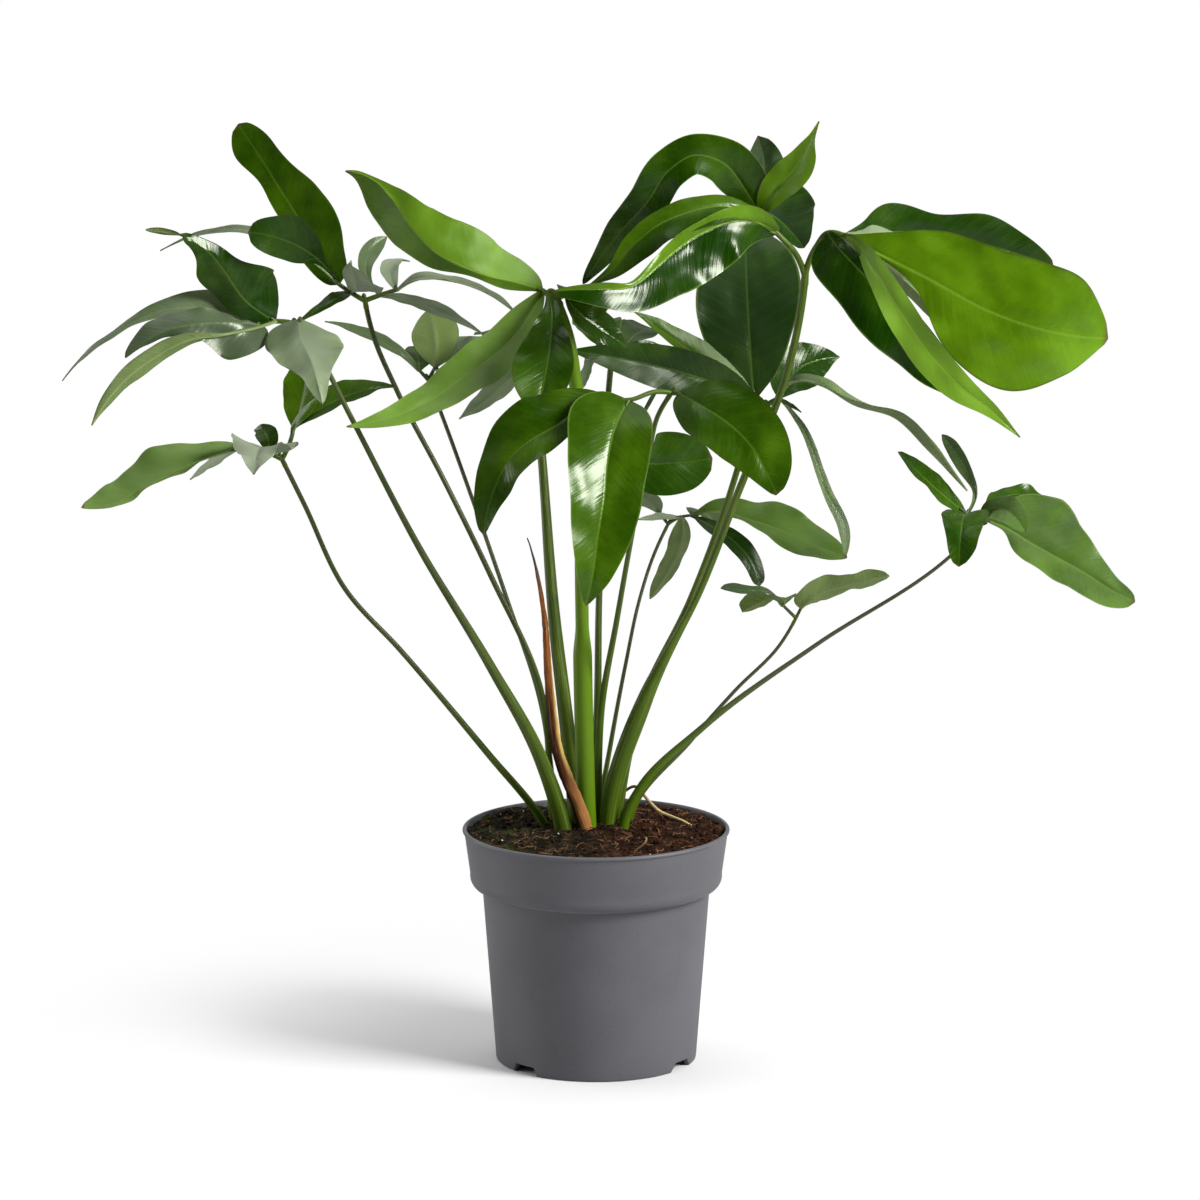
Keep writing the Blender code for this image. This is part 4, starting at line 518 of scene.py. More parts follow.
class Soup:
    """Vertices, faces and what the materials read of them, gathered into one mesh."""

    def __init__(self):
        self.points, self.place, self.tint = [], [], []
        self.faces, self.slots = [], []
        self.count = 0

    def add(self, points, faces, slots=0, place=0.0, tint=0.0):
        points = np.asarray(points, float).reshape(-1, 3)
        self.points.append(points)
        for store, value in ((self.place, place), (self.tint, tint)):
            store.append(np.broadcast_to(np.asarray(value, float), (len(points), 3)))
        self.faces.extend([tuple(int(i) + self.count for i in face) for face in faces])
        self.slots.extend([slots] * len(faces) if np.isscalar(slots) else slots)
        self.count += len(points)

    def piece(self, name, materials):
        mesh = bpy.data.meshes.new(name)
        mesh.from_pydata(np.concatenate(self.points).tolist(), [], self.faces)
        for title, store in (("place", self.place), ("tint", self.tint)):
            layer = mesh.attributes.new(title, "FLOAT_VECTOR", "POINT")
            layer.data.foreach_set("vector", np.concatenate(store).ravel())
        for material in materials:
            mesh.materials.append(material)
        mesh.polygons.foreach_set("material_index", np.array(self.slots, dtype=np.int32))
        mesh.update()
        mesh.shade_smooth()
        mesh.set_sharp_from_angle(angle=math.radians(70))
        made = bpy.data.objects.new(name, mesh)
        bpy.context.scene.collection.objects.link(made)
        return made


def weld(piece):
    """Joins points that coincide, drops faces without area and turns every face outward."""
    made = bmesh.new()
    made.from_mesh(piece.data)
    bmesh.ops.remove_doubles(made, verts=made.verts, dist=1e-6)
    bmesh.ops.dissolve_degenerate(made, edges=made.edges, dist=1e-7)
    bmesh.ops.recalc_face_normals(made, faces=made.faces)
    made.to_mesh(piece.data)
    made.free()


def grid_faces(rows, columns, start=0, flip=False, closed=False):
    """Quads over a grid of rows + 1 by columns + 1 points (columns points if closed)."""
    width = columns if closed else columns + 1
    faces = []
    for i in range(rows):
        for j in range(columns):
            a, b = start + i * width + j, start + i * width + (j + 1) % width
            face = (a, b, b + width, a + width)
            faces.append(face[::-1] if flip else face)
    return faces


def ring(radius, segments, height=0.0):
    """Points round the axis; height is a number, or a function of x and y."""
    points = []
    for k in range(segments):
        x, y = radius * math.cos(TAU * k / segments), radius * math.sin(TAU * k / segments)
        points.append((x, y, height(x, y) if callable(height) else height))
    return points


def tube(soup, points, radius, count, sides, slot, shape=None, tint=0.0):
    """A tube with rounded ends.  radius(t) runs along it, and shape(t, angle) round it."""
    where, along = smooth_path(points, count)
    right, up = carried_frames(along)
    angles = np.arange(sides) * TAU / sides
    steps = np.linspace(0.0, 1.0, count + 1)

    def cap(end, way):
        r = radius(steps[end])
        return [(end, where[end] + way * along[end] * r * lift, r * share) for lift, share in CAP_RINGS]

    rings = cap(0, -1.0)[::-1]
    rings += [(i, where[i], radius(steps[i])) for i in range(count + 1)]
    rings += cap(count, 1.0)
    vertices, places = [], []
    for i, centre, r in rings:
        scale = np.ones(sides) if shape is None else np.array([shape(steps[i], a) for a in angles])
        outline = np.outer(np.cos(angles) * scale, right[i]) + np.outer(np.sin(angles) * scale, up[i])
        vertices.append(centre + r * outline)
        places.append(np.stack([np.full(sides, steps[i]), np.cos(angles), np.sin(angles)], 1))
    last = (len(rings) - 1) * sides
    faces = grid_faces(len(rings) - 1, sides, closed=True)
    faces += [tuple(reversed(range(sides))), tuple(range(last, last + sides))]
    soup.add(np.concatenate(vertices), faces, slot, np.concatenate(places), tint)


def plate(soup, top, bottom, under, place, tint=(0.0, 0.0, 0.0)):
    """A closed plate between two grids of points; under is its underside's material."""
    rows, columns = top.shape[0] - 1, top.shape[1] - 1
    wide = columns + 1
    number = (rows + 1) * wide
    faces = grid_faces(rows, columns) + grid_faces(rows, columns, start=number, flip=True)
    slots = [0] * (rows * columns) + [under] * (rows * columns)
    for i in range(rows):
        a, b = i * wide, (i + 1) * wide
        faces.append((a, b, b + number, a + number))
        a, b = a + columns, b + columns
        faces.append((a, a + number, b + number, b))
    last = rows * wide
    for j in range(columns):
        faces.append((j, j + number, j + 1 + number, j + 1))
        faces.append((last + j, last + j + 1, last + j + 1 + number, last + j + number))
    slots += [0] * (len(faces) - len(slots))

    def both(values):
        grid = np.stack([np.broadcast_to(value, top.shape[:2]) for value in values], -1).reshape(-1, 3)
        return np.concatenate([grid, grid])

    points = np.concatenate([top.reshape(-1, 3), bottom.reshape(-1, 3)])
    soup.add(points, faces, slots, both(place), both(tint))


def swells(along, across, seed):
    """Smooth noise over a grid of places."""
    return np.array([[noise.noise(Vector((x, y, seed))) for y in row] for x, row in zip(along, across)])


def blade(soup, root, leaflet, seed):
    """A leaflet: a thin closed plate with a grooved midrib, quilted veins and a wavy margin."""
    half_width = leaflet.half_width * MM
    points = [root] + millimetres(leaflet.path)
    length = path_length(points)
    rows = int(np.clip(length / ROW_LENGTH, *ROWS))
    half = int(np.clip(half_width / COLUMN_WIDTH, *COLUMNS))
    where, along = smooth_path(points, rows)
    u = np.linspace(0.0, 1.0, rows + 1)[:, None]
    start = np.array(leaflet.face, float)
    end = start if leaflet.turn is None else np.array(leaflet.turn, float)
    right, up = facing_frames(along, start + (end - start) * smoothstep(u, *leaflet.turning))

    spread = (np.arange(1, half + 1) / half) ** CROWDING
    across = np.concatenate([-spread[::-1], [0.0], spread])[None, :]
    a, left = np.abs(across), across < 0
    reach = np.where(left, *half_widths(leaflet, u[:, 0]))
    s = u * length / MM
    y = reach * across / MM

    rise = reach * np.where(left, *pair(leaflet.fold)) * (a * (1 + leaflet.bow) - leaflet.bow * a**2)
    phase = TAU * WAVES * u + np.sign(across) + half_width
    ripple = np.sin(phase) + 0.35 * np.sin(2.3 * phase + seed)
    rise = rise + half_width * leaflet.wave * np.sin(math.pi * u) * ripple * a**2
    inland = np.sin(math.pi * u) ** 0.5 * np.clip(4 * a * (1.25 - a), 0, 1)
    vein = (s - VEIN_SLANT * np.abs(y)) / VEIN_SPACING + 0.37 * seed
    rise = rise + VEIN_RELIEF * np.cos(TAU * vein) * inland
    rise = rise + SWELL_HEIGHT * swells(s[:, 0] / SWELL_LENGTH + 7 * seed, y / SWELL_WIDTH, seed) * inland
    midrib = np.exp(-((y / MIDRIB_HALF_WIDTH) ** 2))
    rise = rise - MIDRIB_GROOVE * midrib * (1 - u)

    top = where[:, None] + right * (reach * across)[..., None] + up * rise[..., None]
    thick = BLADE_THICKNESS * (1 - MARGIN_THINNING * a**6) + MIDRIB_RIDGE * midrib * (1 - 0.75 * u)
    plate(soup, top, top - up * thick[..., None], 1,
          place=(s, y / (0.6 + leaflet.half_width / 40), a),
          tint=(np.where(left, *pair(leaflet.tone)), leaflet.bloom, u))


# ----------------------------------------------------------------------------- materials
def linear(colour):
    """An sRGB colour (0 to 255) as a shader wants it."""
    made = []
    for channel in colour:
        c = channel / 255.0
        made.append(c / 12.92 if c <= 0.04045 else ((c + 0.055) / 1.055) ** 2.4)
    return (*made, 1.0)


def grey(albedo):
    """A grey by the share of light that it sends back."""
    return (albedo, albedo, albedo, 1.0)


class Nodes:
    """Lays down shader nodes: every call gives the new node's output."""

    def __init__(self, tree):
        self.tree = tree

    def feed(self, socket, value):
        if isinstance(value, bpy.types.NodeSocket):
            self.tree.links.new(value, socket)
        else:
            socket.default_value = value

    def put(self, kind, inputs, output=0, **settings):
        node = self.tree.nodes.new("ShaderNode" + kind)
        for key, value in settings.items():
            setattr(node, key, value)
        for key, value in inputs.items():
            self.feed(node.inputs[key], value)
        return node.outputs[output]

    def calc(self, operation, a, b=0.0):
        return self.put("Math", {0: a, 1: b}, operation=operation)

    def plus(self, a, b):
        return self.calc("ADD", a, b)

    def times(self, a, b):
        return self.calc("MULTIPLY", a, b)

    def size(self, a):
        return self.calc("ABSOLUTE", a)

    def sway(self, value, by, amount):
        """The value, moved up and down by a noise whose middle is 0.5."""
        return self.plus(value, self.times(self.calc("SUBTRACT", by, 0.5), amount))

    def band(self, value, low, high, start=0.0, end=1.0):
        """start below low, end above high, and a smooth step between."""
        inputs = {0: value, 1: low, 2: high, 3: start, 4: end}
        return self.put("MapRange", inputs, interpolation_type="SMOOTHSTEP")

    def mix(self, factor, a, b):
        """From a to b by factor.  A colour of three numbers is sRGB."""
        a, b = (linear(c) if isinstance(c, tuple) and len(c) == 3 else c for c in (a, b))
        return self.put("Mix", {0: factor, 6: a, 7: b}, output=2, data_type="RGBA")

    def split(self, vector):
        return self.put("SeparateXYZ", {0: vector}).node.outputs

    def join(self, x, y, z=0.0):
        return self.put("CombineXYZ", {0: x, 1: y, 2: z})

    def attribute(self, name):
        return self.split(self.put("Attribute", {}, output="Vector", attribute_name=name))

    def position(self):
        return self.put("TexCoord", {}, output="Object")

    def ray(self, kind):
        """1 for a ray of that kind, and 0 for any other."""
        return self.put("LightPath", {}, output="Is " + kind + " Ray")

    def noise(self, vector, scale, detail=3.0, roughness=0.55):
        inputs = {"Vector": vector, "Scale": scale, "Detail": detail, "Roughness": roughness}
        return self.put("TexNoise", inputs)

    def bump(self, height, strength, distance):
        return self.put("Bump", {"Strength": strength, "Distance": distance, "Height": height})


class Surface(Nodes):
    """A material: a Principled shader, and the nodes that feed it."""

    def __init__(self, name, **constants):
        self.made = bpy.data.materials.new(name)
        self.made.use_nodes = True
        super().__init__(self.made.node_tree)
        self.shader = self.tree.nodes["Principled BSDF"]
        self.shade(**constants)

    def shade(self, **inputs):
        """Feeds inputs of the shader by name, and gives the material."""
        for key, value in inputs.items():
            self.feed(self.shader.inputs[key.replace("_", " ")], value)
        return self.made


# What the materials read.  On a leaflet, place is s, the millimetres from its root, y, the
# millimetres from its midrib, stretched on a narrow one, and a, from 0 at the midrib to 1 at
# the margin; tint is tone, then how much painted grey sheen and how matt, and u, the share of
# its length.  On a stalk, place is t, the share of its length, and a direction round it; tint
# is how yellow it is, a number of its own, and how dull it is.
def vein_mask(m, s, y, shift):
    """Side veins: bands that leave the midrib and run forward."""
    phase = m.calc("SUBTRACT", s, m.times(m.size(y), VEIN_SLANT))
    phase = m.calc("DIVIDE", phase, VEIN_SPACING)
    phase = m.plus(phase, m.times(m.noise(m.position(), 60.0, 2.0), 0.35))
    offset = m.size(m.calc("SUBTRACT", m.calc("FRACT", m.plus(phase, shift)), 0.5))
    return m.band(offset, 0.0, VEIN_WIDTH, 1.0, 0.0)


def leaf_upper():
    """Glossy green with a pale midrib, a thin pale or dark margin, a brown tip, and painted grey sheen on
    parts that face up.
    """
    m = Surface("leaf_upper", Specular_IOR_Level=0.42, IOR=1.5, Specular_Tint=WARM_SHINE)
    s, y, a = m.attribute("place")
    tone, bloom, u = m.attribute("tint")
    spot = m.position()
    cloud = m.noise(spot, 24.0, 3.0)
    rnd = m.calc("FRACT", m.times(tone, 17.3))
    shade = m.sway(m.sway(tone, cloud, 0.8), m.noise(spot, 420.0, 2.0), 0.1)
    colour = m.mix(m.band(shade, -0.1, 1.1), (18, 50, 0), (106, 150, 4))
    veins = vein_mask(m, s, y, rnd)
    colour = m.mix(m.times(veins, 0.025), colour, (110, 146, 60))
    rib = m.times(m.band(m.size(y), 0.15, 0.75, 1.0, 0.0), m.band(u, 0.1, 1.0, 0.6, 0.2))
    colour = m.mix(rib, colour, m.mix(tone, (78, 112, 36), (150, 186, 60)))
    rim = m.times(m.band(a, 0.945, 0.99), 0.5)
    colour = m.mix(rim, colour, m.mix(m.band(rnd, 0.35, 0.6), (112, 138, 62), (58, 62, 30)))
    # Painted grey sheen: the parts that face up turn grey, as a reflection of the bright surroundings
    # would, by each leaflet's sheen number.
    up = m.split(m.put("NewGeometry", {}, output="Normal"))[2]
    painted_sheen = m.times(m.calc("MAXIMUM", bloom, 0.0), m.band(m.noise(spot, 16.0, 2.0), 0.3, 0.7, 0.5, 0.8))
    painted_sheen = m.times(painted_sheen, m.band(up, -0.1, 0.8, 0.6, 1.15))
    colour = m.mix(painted_sheen, colour, (156, 165, 142))
    colour = m.mix(m.band(u, 0.972, 0.997, 0.0, 0.8), colour, (84, 66, 44))
    rough = m.plus(m.band(cloud, 0.3, 0.7, 0.18, 0.28), m.times(m.size(bloom), 0.26))
    rough = m.plus(rough, m.band(tone, 0.3, 0.8, 0.0, 0.14))
    run = m.calc("SUBTRACT", s, m.times(m.size(y), STREAK_SLANT))
    streaks = m.noise(m.join(m.times(run, 0.35), m.times(y, 0.05), rnd), 1.0, 2.0)
    streaks = m.times(streaks, m.band(tone, 0.3, 0.7, 1.0, 0.45))
    return m.shade(Base_Color=colour, Roughness=rough, Normal=m.bump(streaks, 0.4, 0.0006))


def leaf_under():
    """The matt, paler side of a leaflet, on which the veins and the midrib stand out."""
    m = Surface("leaf_under", Specular_IOR_Level=0.2, IOR=1.5)
    s, y, a = m.attribute("place")
    tone, bloom, _ = m.attribute("tint")
    cloud = m.noise(m.position(), 45.0, 3.0)
    colour = m.mix(m.band(m.sway(tone, cloud, 0.5), -0.1, 1.1), (76, 94, 46), (122, 146, 70))
    veins = vein_mask(m, s, y, cloud)
    colour = m.mix(m.times(veins, 0.16), colour, (128, 144, 92))
    rib = m.band(m.size(y), 0.4, 1.2, 1.0, 0.0)
    colour = m.mix(m.times(rib, 0.7), colour, (132, 148, 88))
    colour = m.mix(m.times(m.band(a, 0.94, 0.99), 0.6), colour, (84, 88, 58))
    # Painted grey sheen, as much as each leaflet's sheen number asks.
    colour = m.mix(m.times(bloom, 0.5), colour, (142, 150, 134))
    return m.shade(Base_Color=colour, Roughness=0.46, Normal=m.bump(veins, 0.2, 0.0004))


def stalk_surface():
    """Green stalk with fine lines along it, its colour going from foot to top."""
    m = Surface("stalk", Specular_IOR_Level=0.35, IOR=1.5, Specular_Tint=WARM_SHINE)
    t, round_x, round_y = m.attribute("place")
    lit, rnd, dull = m.attribute("tint")
    colour = m.mix(m.band(t, 0.0, 0.7), (66, 88, 12), (64, 82, 22))
    stretch = m.join(m.times(t, 3.0), m.times(round_x, 2.0), m.plus(round_y, rnd))
    lines = m.noise(stretch, 3.0, 3.0, 0.6)
    colour = m.mix(m.band(lines, 0.5, 0.72, 0.0, 0.7), colour, (118, 132, 60))
    freckles = m.noise(m.position(), 40.0, 3.0)
    colour = m.mix(m.band(freckles, 0.5, 0.8, 0.0, 0.5), colour, (44, 56, 18))
    colour = m.mix(lit, colour, (88, 122, 2))
    colour = m.mix(m.times(dull, m.band(t, 0.1, 0.6)), colour, (70, 72, 56))
    return m.shade(Base_Color=colour, Roughness=0.36, Normal=m.bump(lines, 0.2, 0.0003))


def pot_surface():
    """Grey plastic with a fine grain and a few scuffs."""
    m = Surface("grey_plastic", Specular_IOR_Level=0.45, IOR=1.5, Sheen_Weight=0.12, Sheen_Roughness=0.4)
    spot = m.position()
    broad = m.noise(spot, 14.0, 3.0)
    colour = m.mix(m.band(broad, 0.3, 0.7), (86, 86, 91), (93, 93, 98))
    grain = m.noise(spot, 900.0, 2.0)
    colour = m.mix(m.times(m.band(grain, 0.35, 0.75), 0.12), colour, (124, 125, 130))
    long_way = m.put("Mapping", {"Vector": spot, "Scale": (1.0, 1.0, 5.0)}, vector_type="POINT")
    scuffs = m.band(m.noise(long_way, 46.0, 6.0, 0.75), 0.68, 0.76)
    scuffs = m.times(scuffs, m.band(m.noise(spot, 21.0, 1.0), 0.5, 0.66))
    colour = m.mix(m.times(scuffs, 0.5), colour, (138, 139, 143))
    height = m.plus(m.times(grain, 0.6), m.times(scuffs, 0.8))
    rough = m.band(broad, 0.3, 0.75, 0.42, 0.54)
    return m.shade(Base_Color=colour, Roughness=rough, Normal=m.bump(height, 0.12, 0.0004))


def soil_surface():
    """Dark peat, redder to the right and with a little moss on the left."""
    m = Surface("peat", Specular_IOR_Level=0.1, IOR=1.45)
    spot = m.position()
    coarse = m.noise(spot, 130.0, 5.0, 0.7)
    fine = m.noise(spot, 900.0, 4.0, 0.7)
    x = m.split(spot)[0]
    side = m.band(x, -0.03, 0.035)
    dark = m.mix(side, (22, 19, 11), (32, 18, 10))
    light = m.mix(side, (62, 55, 36), (84, 50, 32))
    colour = m.mix(m.band(coarse, 0.42, 0.72), dark, light)
    colour = m.mix(m.band(fine, 0.58, 0.85, 0.0, 0.5), colour, (122, 96, 66))
    moss = m.band(m.noise(spot, 70.0, 2.0), 0.56, 0.68)
    colour = m.mix(m.times(moss, m.band(x, -0.01, -0.035, 0.0, 0.6)), colour, (56, 70, 22))
    height = m.plus(coarse, m.times(fine, 0.5))
    return m.shade(Base_Color=colour, Roughness=0.92, Normal=m.bump(height, 0.9, 0.0012))


def fibre_surface(name, first, second, roughness=0.8):
    """Two colours mixed by each bit's own tint, with a fine grain."""
    m = Surface(name, Specular_IOR_Level=0.3, IOR=1.45)
    grain = m.noise(m.position(), 700.0, 3.0)
    colour = m.mix(m.band(m.sway(m.attribute("tint")[0], grain, 0.5), 0.0, 1.0), first, second)
    return m.shade(Base_Color=colour, Roughness=roughness, Normal=m.bump(grain, 0.4, 0.0005))


def sheath_surface():
    """Brown papery sheath, striped along its length; s runs along it in millimetres."""
    m = Surface("dry_sheath", Specular_IOR_Level=0.15, IOR=1.45)
    s, y, _ = m.attribute("place")
    stripes = m.noise(m.join(m.times(s, 0.012), y), 1.3, 5.0, 0.7)
    colour = m.mix(m.band(s, 22.0, 60.0), (164, 112, 62), (74, 36, 18))
    colour = m.mix(m.band(s, 95.0, 130.0), colour, (132, 76, 30))
    colour = m.mix(m.band(stripes, 0.52, 0.64, 0.0, 0.75), colour, (150, 112, 66))
    colour = m.mix(m.band(stripes, 0.46, 0.36, 0.0, 0.85), colour, (36, 20, 16))
    edge = m.times(m.band(s, 40.0, 75.0), m.band(s, 140.0, 165.0, 1.0, 0.0))
    colour = m.mix(m.times(m.band(y, 2.0, 3.4, 0.0, 0.9), edge), colour, (200, 170, 90))
    colour = m.mix(m.band(y, -1.0, -2.6, 0.0, 0.9), colour, (30, 18, 16))
    colour = m.mix(m.band(s, 168.0, 195.0), colour, (84, 72, 66))
    height = m.plus(stripes, m.times(m.noise(m.position(), 500.0, 3.0), 0.3))
    return m.shade(Base_Color=colour, Roughness=0.6, Normal=m.bump(height, 0.6, 0.0008))


UPPER, UNDER, STALK = leaf_upper(), leaf_under(), stalk_surface()
PLASTIC, PEAT, SHEATH = pot_surface(), soil_surface(), sheath_surface()
PEAT_FIBRE = fibre_surface("peat_fibre", (30, 17, 10), (150, 108, 74))
ROOT = fibre_surface("bare_root", (74, 52, 30), (222, 196, 140), 0.7)
PERLITE = fibre_surface("perlite", (190, 184, 170), (238, 236, 228), 0.9)


# ---------------------------------------------------------------------------------- pieces
# Where the sheath of a stout petiole ends, as shares of its length; how yellow and how
# grey each stalk is.
CLASPING = {"centre_tall": (0.36, 0.42), "right_tall": (0.2, 0.42), "centre_low": (0.1, 0.95)}
STALK_LOOK = {
    "centre_tall": (0.9, 0.0), "right_tall": (0.12, 0.0), "right_back": (0.15, 0.1),
    "right_low": (0.4, 0.9), "right_small": (0.0, 0.8), "right_mid": (0.0, 0.7),
    "left_small": (0.0, 0.7), "left_back": (0.0, 0.5), "left_low": (0.1, 0.4),
    "front": (0.15, 0.2), "centre_low": (0.0, 0.0),
}
OTHER_STALKS = (0.0, 0.3)
FOOT_FLARE = 2.6  # how soon a stalk without a sheath narrows above its foot
FLANGES, GROOVE = (3.9, 5.5), 4.7  # radians round a stalk


def place_piece(piece, slot, *nodes):
    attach(piece, "root")
    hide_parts(*nodes)


def make_leaf(name, leaf, order):
    """The knuckle, arms and leaflets of one leaf."""
    soup = Soup()
    stalk, along = smooth_path(millimetres(leaf.petiole), 40)
    start, forward = stalk[-1], along[-1]
    radius = leaf.radii[1] * MM
    thick = min(radius, ARM_RADIUS)
    yellow, dull = STALK_LOOK.get(name, OTHER_STALKS)
    tint = (0.1 + yellow / 2, order * LEAF_SEED % 1.0, dull)
    ends = [start - forward * 0.001, start + forward * KNUCKLE_LENGTH]
    tube(soup, ends, lambda t: radius * (1.12 - 0.25 * t), count=6, sides=16, slot=2, tint=tint)
    for arm in leaf.arms:
        points = [start + forward * KNUCKLE_LENGTH / 2] + millimetres(arm)
        count = max(8, int(path_length(points) / ARM_STEP))
        tube(soup, points, lambda t: thick * (1.05 - 0.2 * t), count, sides=14, slot=2, tint=tint)
    for index, leaflet in enumerate(leaf.leaflets):
        arm, joint = leaflet.root
        root = np.array(leaf.arms[arm][joint]) * MM
        step = np.array(leaflet.path[0]) * MM - root
        stub = min(STUB_LENGTH, 0.2 * np.linalg.norm(step))
        ends = [root, root + unit(step) * stub]
        tube(soup, ends, lambda t: STALK_HALF_WIDTH - 0.0005 * t, count=4, sides=10, slot=2, tint=tint)
        blade(soup, root, leaflet, order * LEAF_SEED + index * LEAFLET_SEED)
    place_piece(soup.piece("foliage_" + name, [UPPER, UNDER, STALK]), "leaf", "leaf_" + name)


def swelling(angle, middle, width):
    """1 at the middle angle, falling away on both sides of it."""
    off = (angle - middle + math.pi) % TAU - math.pi
    return math.exp(-((off / width) ** 2))


def make_petiole(name, leaf, order):
    """A petiole: flanged and grooved below, where its sheath is, and nearly round above."""
    soup = Soup()
    low, high = leaf.radii[0] * MM, leaf.radii[1] * MM
    yellow, dull = STALK_LOOK.get(name, OTHER_STALKS)

    def radius(t):
        if name in CLASPING:
            return high + (low - high) * (1 - smoothstep(t, *CLASPING[name]))
        return high + (low - high) * (1 - t) ** FOOT_FLARE

    def shape(t, angle):
        """Two flanges and a groove that fade out halfway up, and five faint ribs."""
        sheath = np.clip((0.55 - t) / 0.35, 0, 1)
        flanges = sum(swelling(angle, middle, 0.16) for middle in FLANGES)
        relief = 0.07 * flanges - 0.05 * swelling(angle, GROOVE, 0.45)
        return 1 + sheath * relief + 0.012 * math.sin(5 * angle)

    tube(soup, millimetres(leaf.petiole), radius, count=110, sides=28, slot=0, shape=shape,
         tint=(yellow, order * LEAF_SEED % 1.0, dull))
    place_piece(soup.piece("stalk_" + name, [STALK]), "petiole", "petiole_" + name)


def wall_radius(z):
    """The outer radius of the pot's wall at height z."""
    if z >= COLLAR_FOOT_Z:
        share = (z - COLLAR_FOOT_Z) / (POT_HEIGHT - LIP_HEIGHT - COLLAR_FOOT_Z)
        return COLLAR_FOOT_RADIUS + share * (RIM_RADIUS - LIP_WIDTH - COLLAR_FOOT_RADIUS)
    if z >= SHOULDER_Z:
        share = (z - SHOULDER_Z) / (COLLAR_FOOT_Z - SHOULDER_Z)
        return BODY_TOP_RADIUS + share * (COLLAR_FOOT_RADIUS - BODY_TOP_RADIUS)
    return BODY_FOOT_RADIUS + z / SHOULDER_Z * (BODY_TOP_RADIUS - BODY_FOOT_RADIUS)


def foot_height(x, y):
    """How high the foot's lower edge is at a place: up in the four notches."""
    angle = math.degrees(math.atan2(y, x))
    off = min(abs((angle - middle + 180) % 360 - 180) for middle in NOTCH_ANGLES)
    return NOTCH_HEIGHT * smoothstep(NOTCH_HALF + NOTCH_EDGE / 2 - off, 0.0, NOTCH_EDGE)


def make_pot():
    """The pot, turned from its profile, with its foot ring raised in the notches."""

    def wall(low, high, count):
        return [(wall_radius(z), z) for z in np.linspace(low, high, count)]

    foot_in = BODY_FOOT_RADIUS - FOOT_WIDTH
    profile = [(0.0, POT_FLOOR_Z), (foot_in, POT_FLOOR_Z), (foot_in, 0.0004), (foot_in + 0.0004, 0.0)]
    profile += [(BODY_FOOT_RADIUS - EDGE_ROUND / 2, 0.0), (BODY_FOOT_RADIUS - 0.0001, 0.0004)]
    profile += wall(0.001, NOTCH_HEIGHT + 0.0008, 5) + wall(0.009, SHOULDER_Z - EDGE_ROUND, 14)
    turn_r, turn_z = BODY_TOP_RADIUS + EDGE_ROUND, SHOULDER_Z + 0.0002
    profile += [(BODY_TOP_RADIUS + 0.0002, SHOULDER_Z - 0.0003), (turn_r, turn_z)]
    for t in np.linspace(0.08, 1.0, 9):
        a = t * math.pi / 2
        r = turn_r + (COLLAR_FOOT_RADIUS - turn_r) * math.sin(a) ** 1.15
        z = turn_z + (COLLAR_FOOT_Z - turn_z) * (1 - math.cos(a) ** 0.9)
        profile.append((r + COLLAR_BULGE * math.sin(t * math.pi), z))
    profile += wall(COLLAR_FOOT_Z + 0.003, POT_HEIGHT - LIP_HEIGHT - EDGE_ROUND / 2, 9)
    for a in np.linspace(-0.45, 0.5, 9) * math.pi:
        r = RIM_RADIUS - LIP_WIDTH + LIP_WIDTH * math.cos(a)
        profile.append((r, POT_HEIGHT - LIP_HEIGHT / 2 + LIP_HEIGHT / 2 * math.sin(a)))
    inner_top, floor_top = RIM_RADIUS - LIP_WIDTH - WALL, POT_FLOOR_Z + FLOOR_THICKNESS
    profile += [(inner_top + EDGE_ROUND / 2, POT_HEIGHT), (inner_top + 0.0002, POT_HEIGHT - 0.0003)]
    for z in (POT_HEIGHT - EDGE_ROUND, 0.143, 0.135, COLLAR_FOOT_Z, SHOULDER_Z, 0.05, floor_top):
        profile.append((wall_radius(z) - WALL, z))
    profile.append((0.0, floor_top))
    points = []
    for r, z in profile:
        points += ring(r, POT_SEGMENTS, lambda x, y: max(z, foot_height(x, y)))
    soup = Soup()
    soup.add(points, grid_faces(len(profile) - 1, POT_SEGMENTS, closed=True))
    pot = soup.piece("nursery_pot", [PLASTIC])
    weld(pot)
    place_piece(pot, "pot", "pot")


def soil_level(x, y):
    """The height of the soil's lumpy, mounded top."""
    from_middle = math.hypot(x - SOIL_MOUND_CENTRE[0], y - SOIL_MOUND_CENTRE[1])
    mound = SOIL_MOUND * math.exp(-((from_middle / SOIL_MOUND_RADIUS) ** 2))
    lumps = sum(noise.noise(Vector((x, y, 0.0)) * close) * height for close, height in SOIL_LUMPS)
    return SOIL_RIM_Z + mound + lumps


def make_soil():
    """The root ball with its rough top."""
    points = []
    for i in range(SOIL_RINGS + 1):
        points += ring(SOIL_RADIUS * (i / SOIL_RINGS) ** 0.8, SOIL_SEGMENTS, soil_level)
    for r, z in SOIL_SIDE:
        points += ring(r, SOIL_SEGMENTS, z)
    soup = Soup()
    soup.add(points, grid_faces(SOIL_RINGS + len(SOIL_SIDE), SOIL_SEGMENTS, closed=True))
    ball = soup.piece("root_ball", [PEAT])
    weld(ball)
    place_piece(ball, "soil", "soil")


def scattered(random):
    """A random place on the soil."""
    r = (SOIL_RADIUS - 0.002) * math.sqrt(random.uniform(0, 1))
    a = random.uniform(0, TAU)
    x, y = r * math.cos(a), r * math.sin(a)
    return x, y, soil_level(x, y)


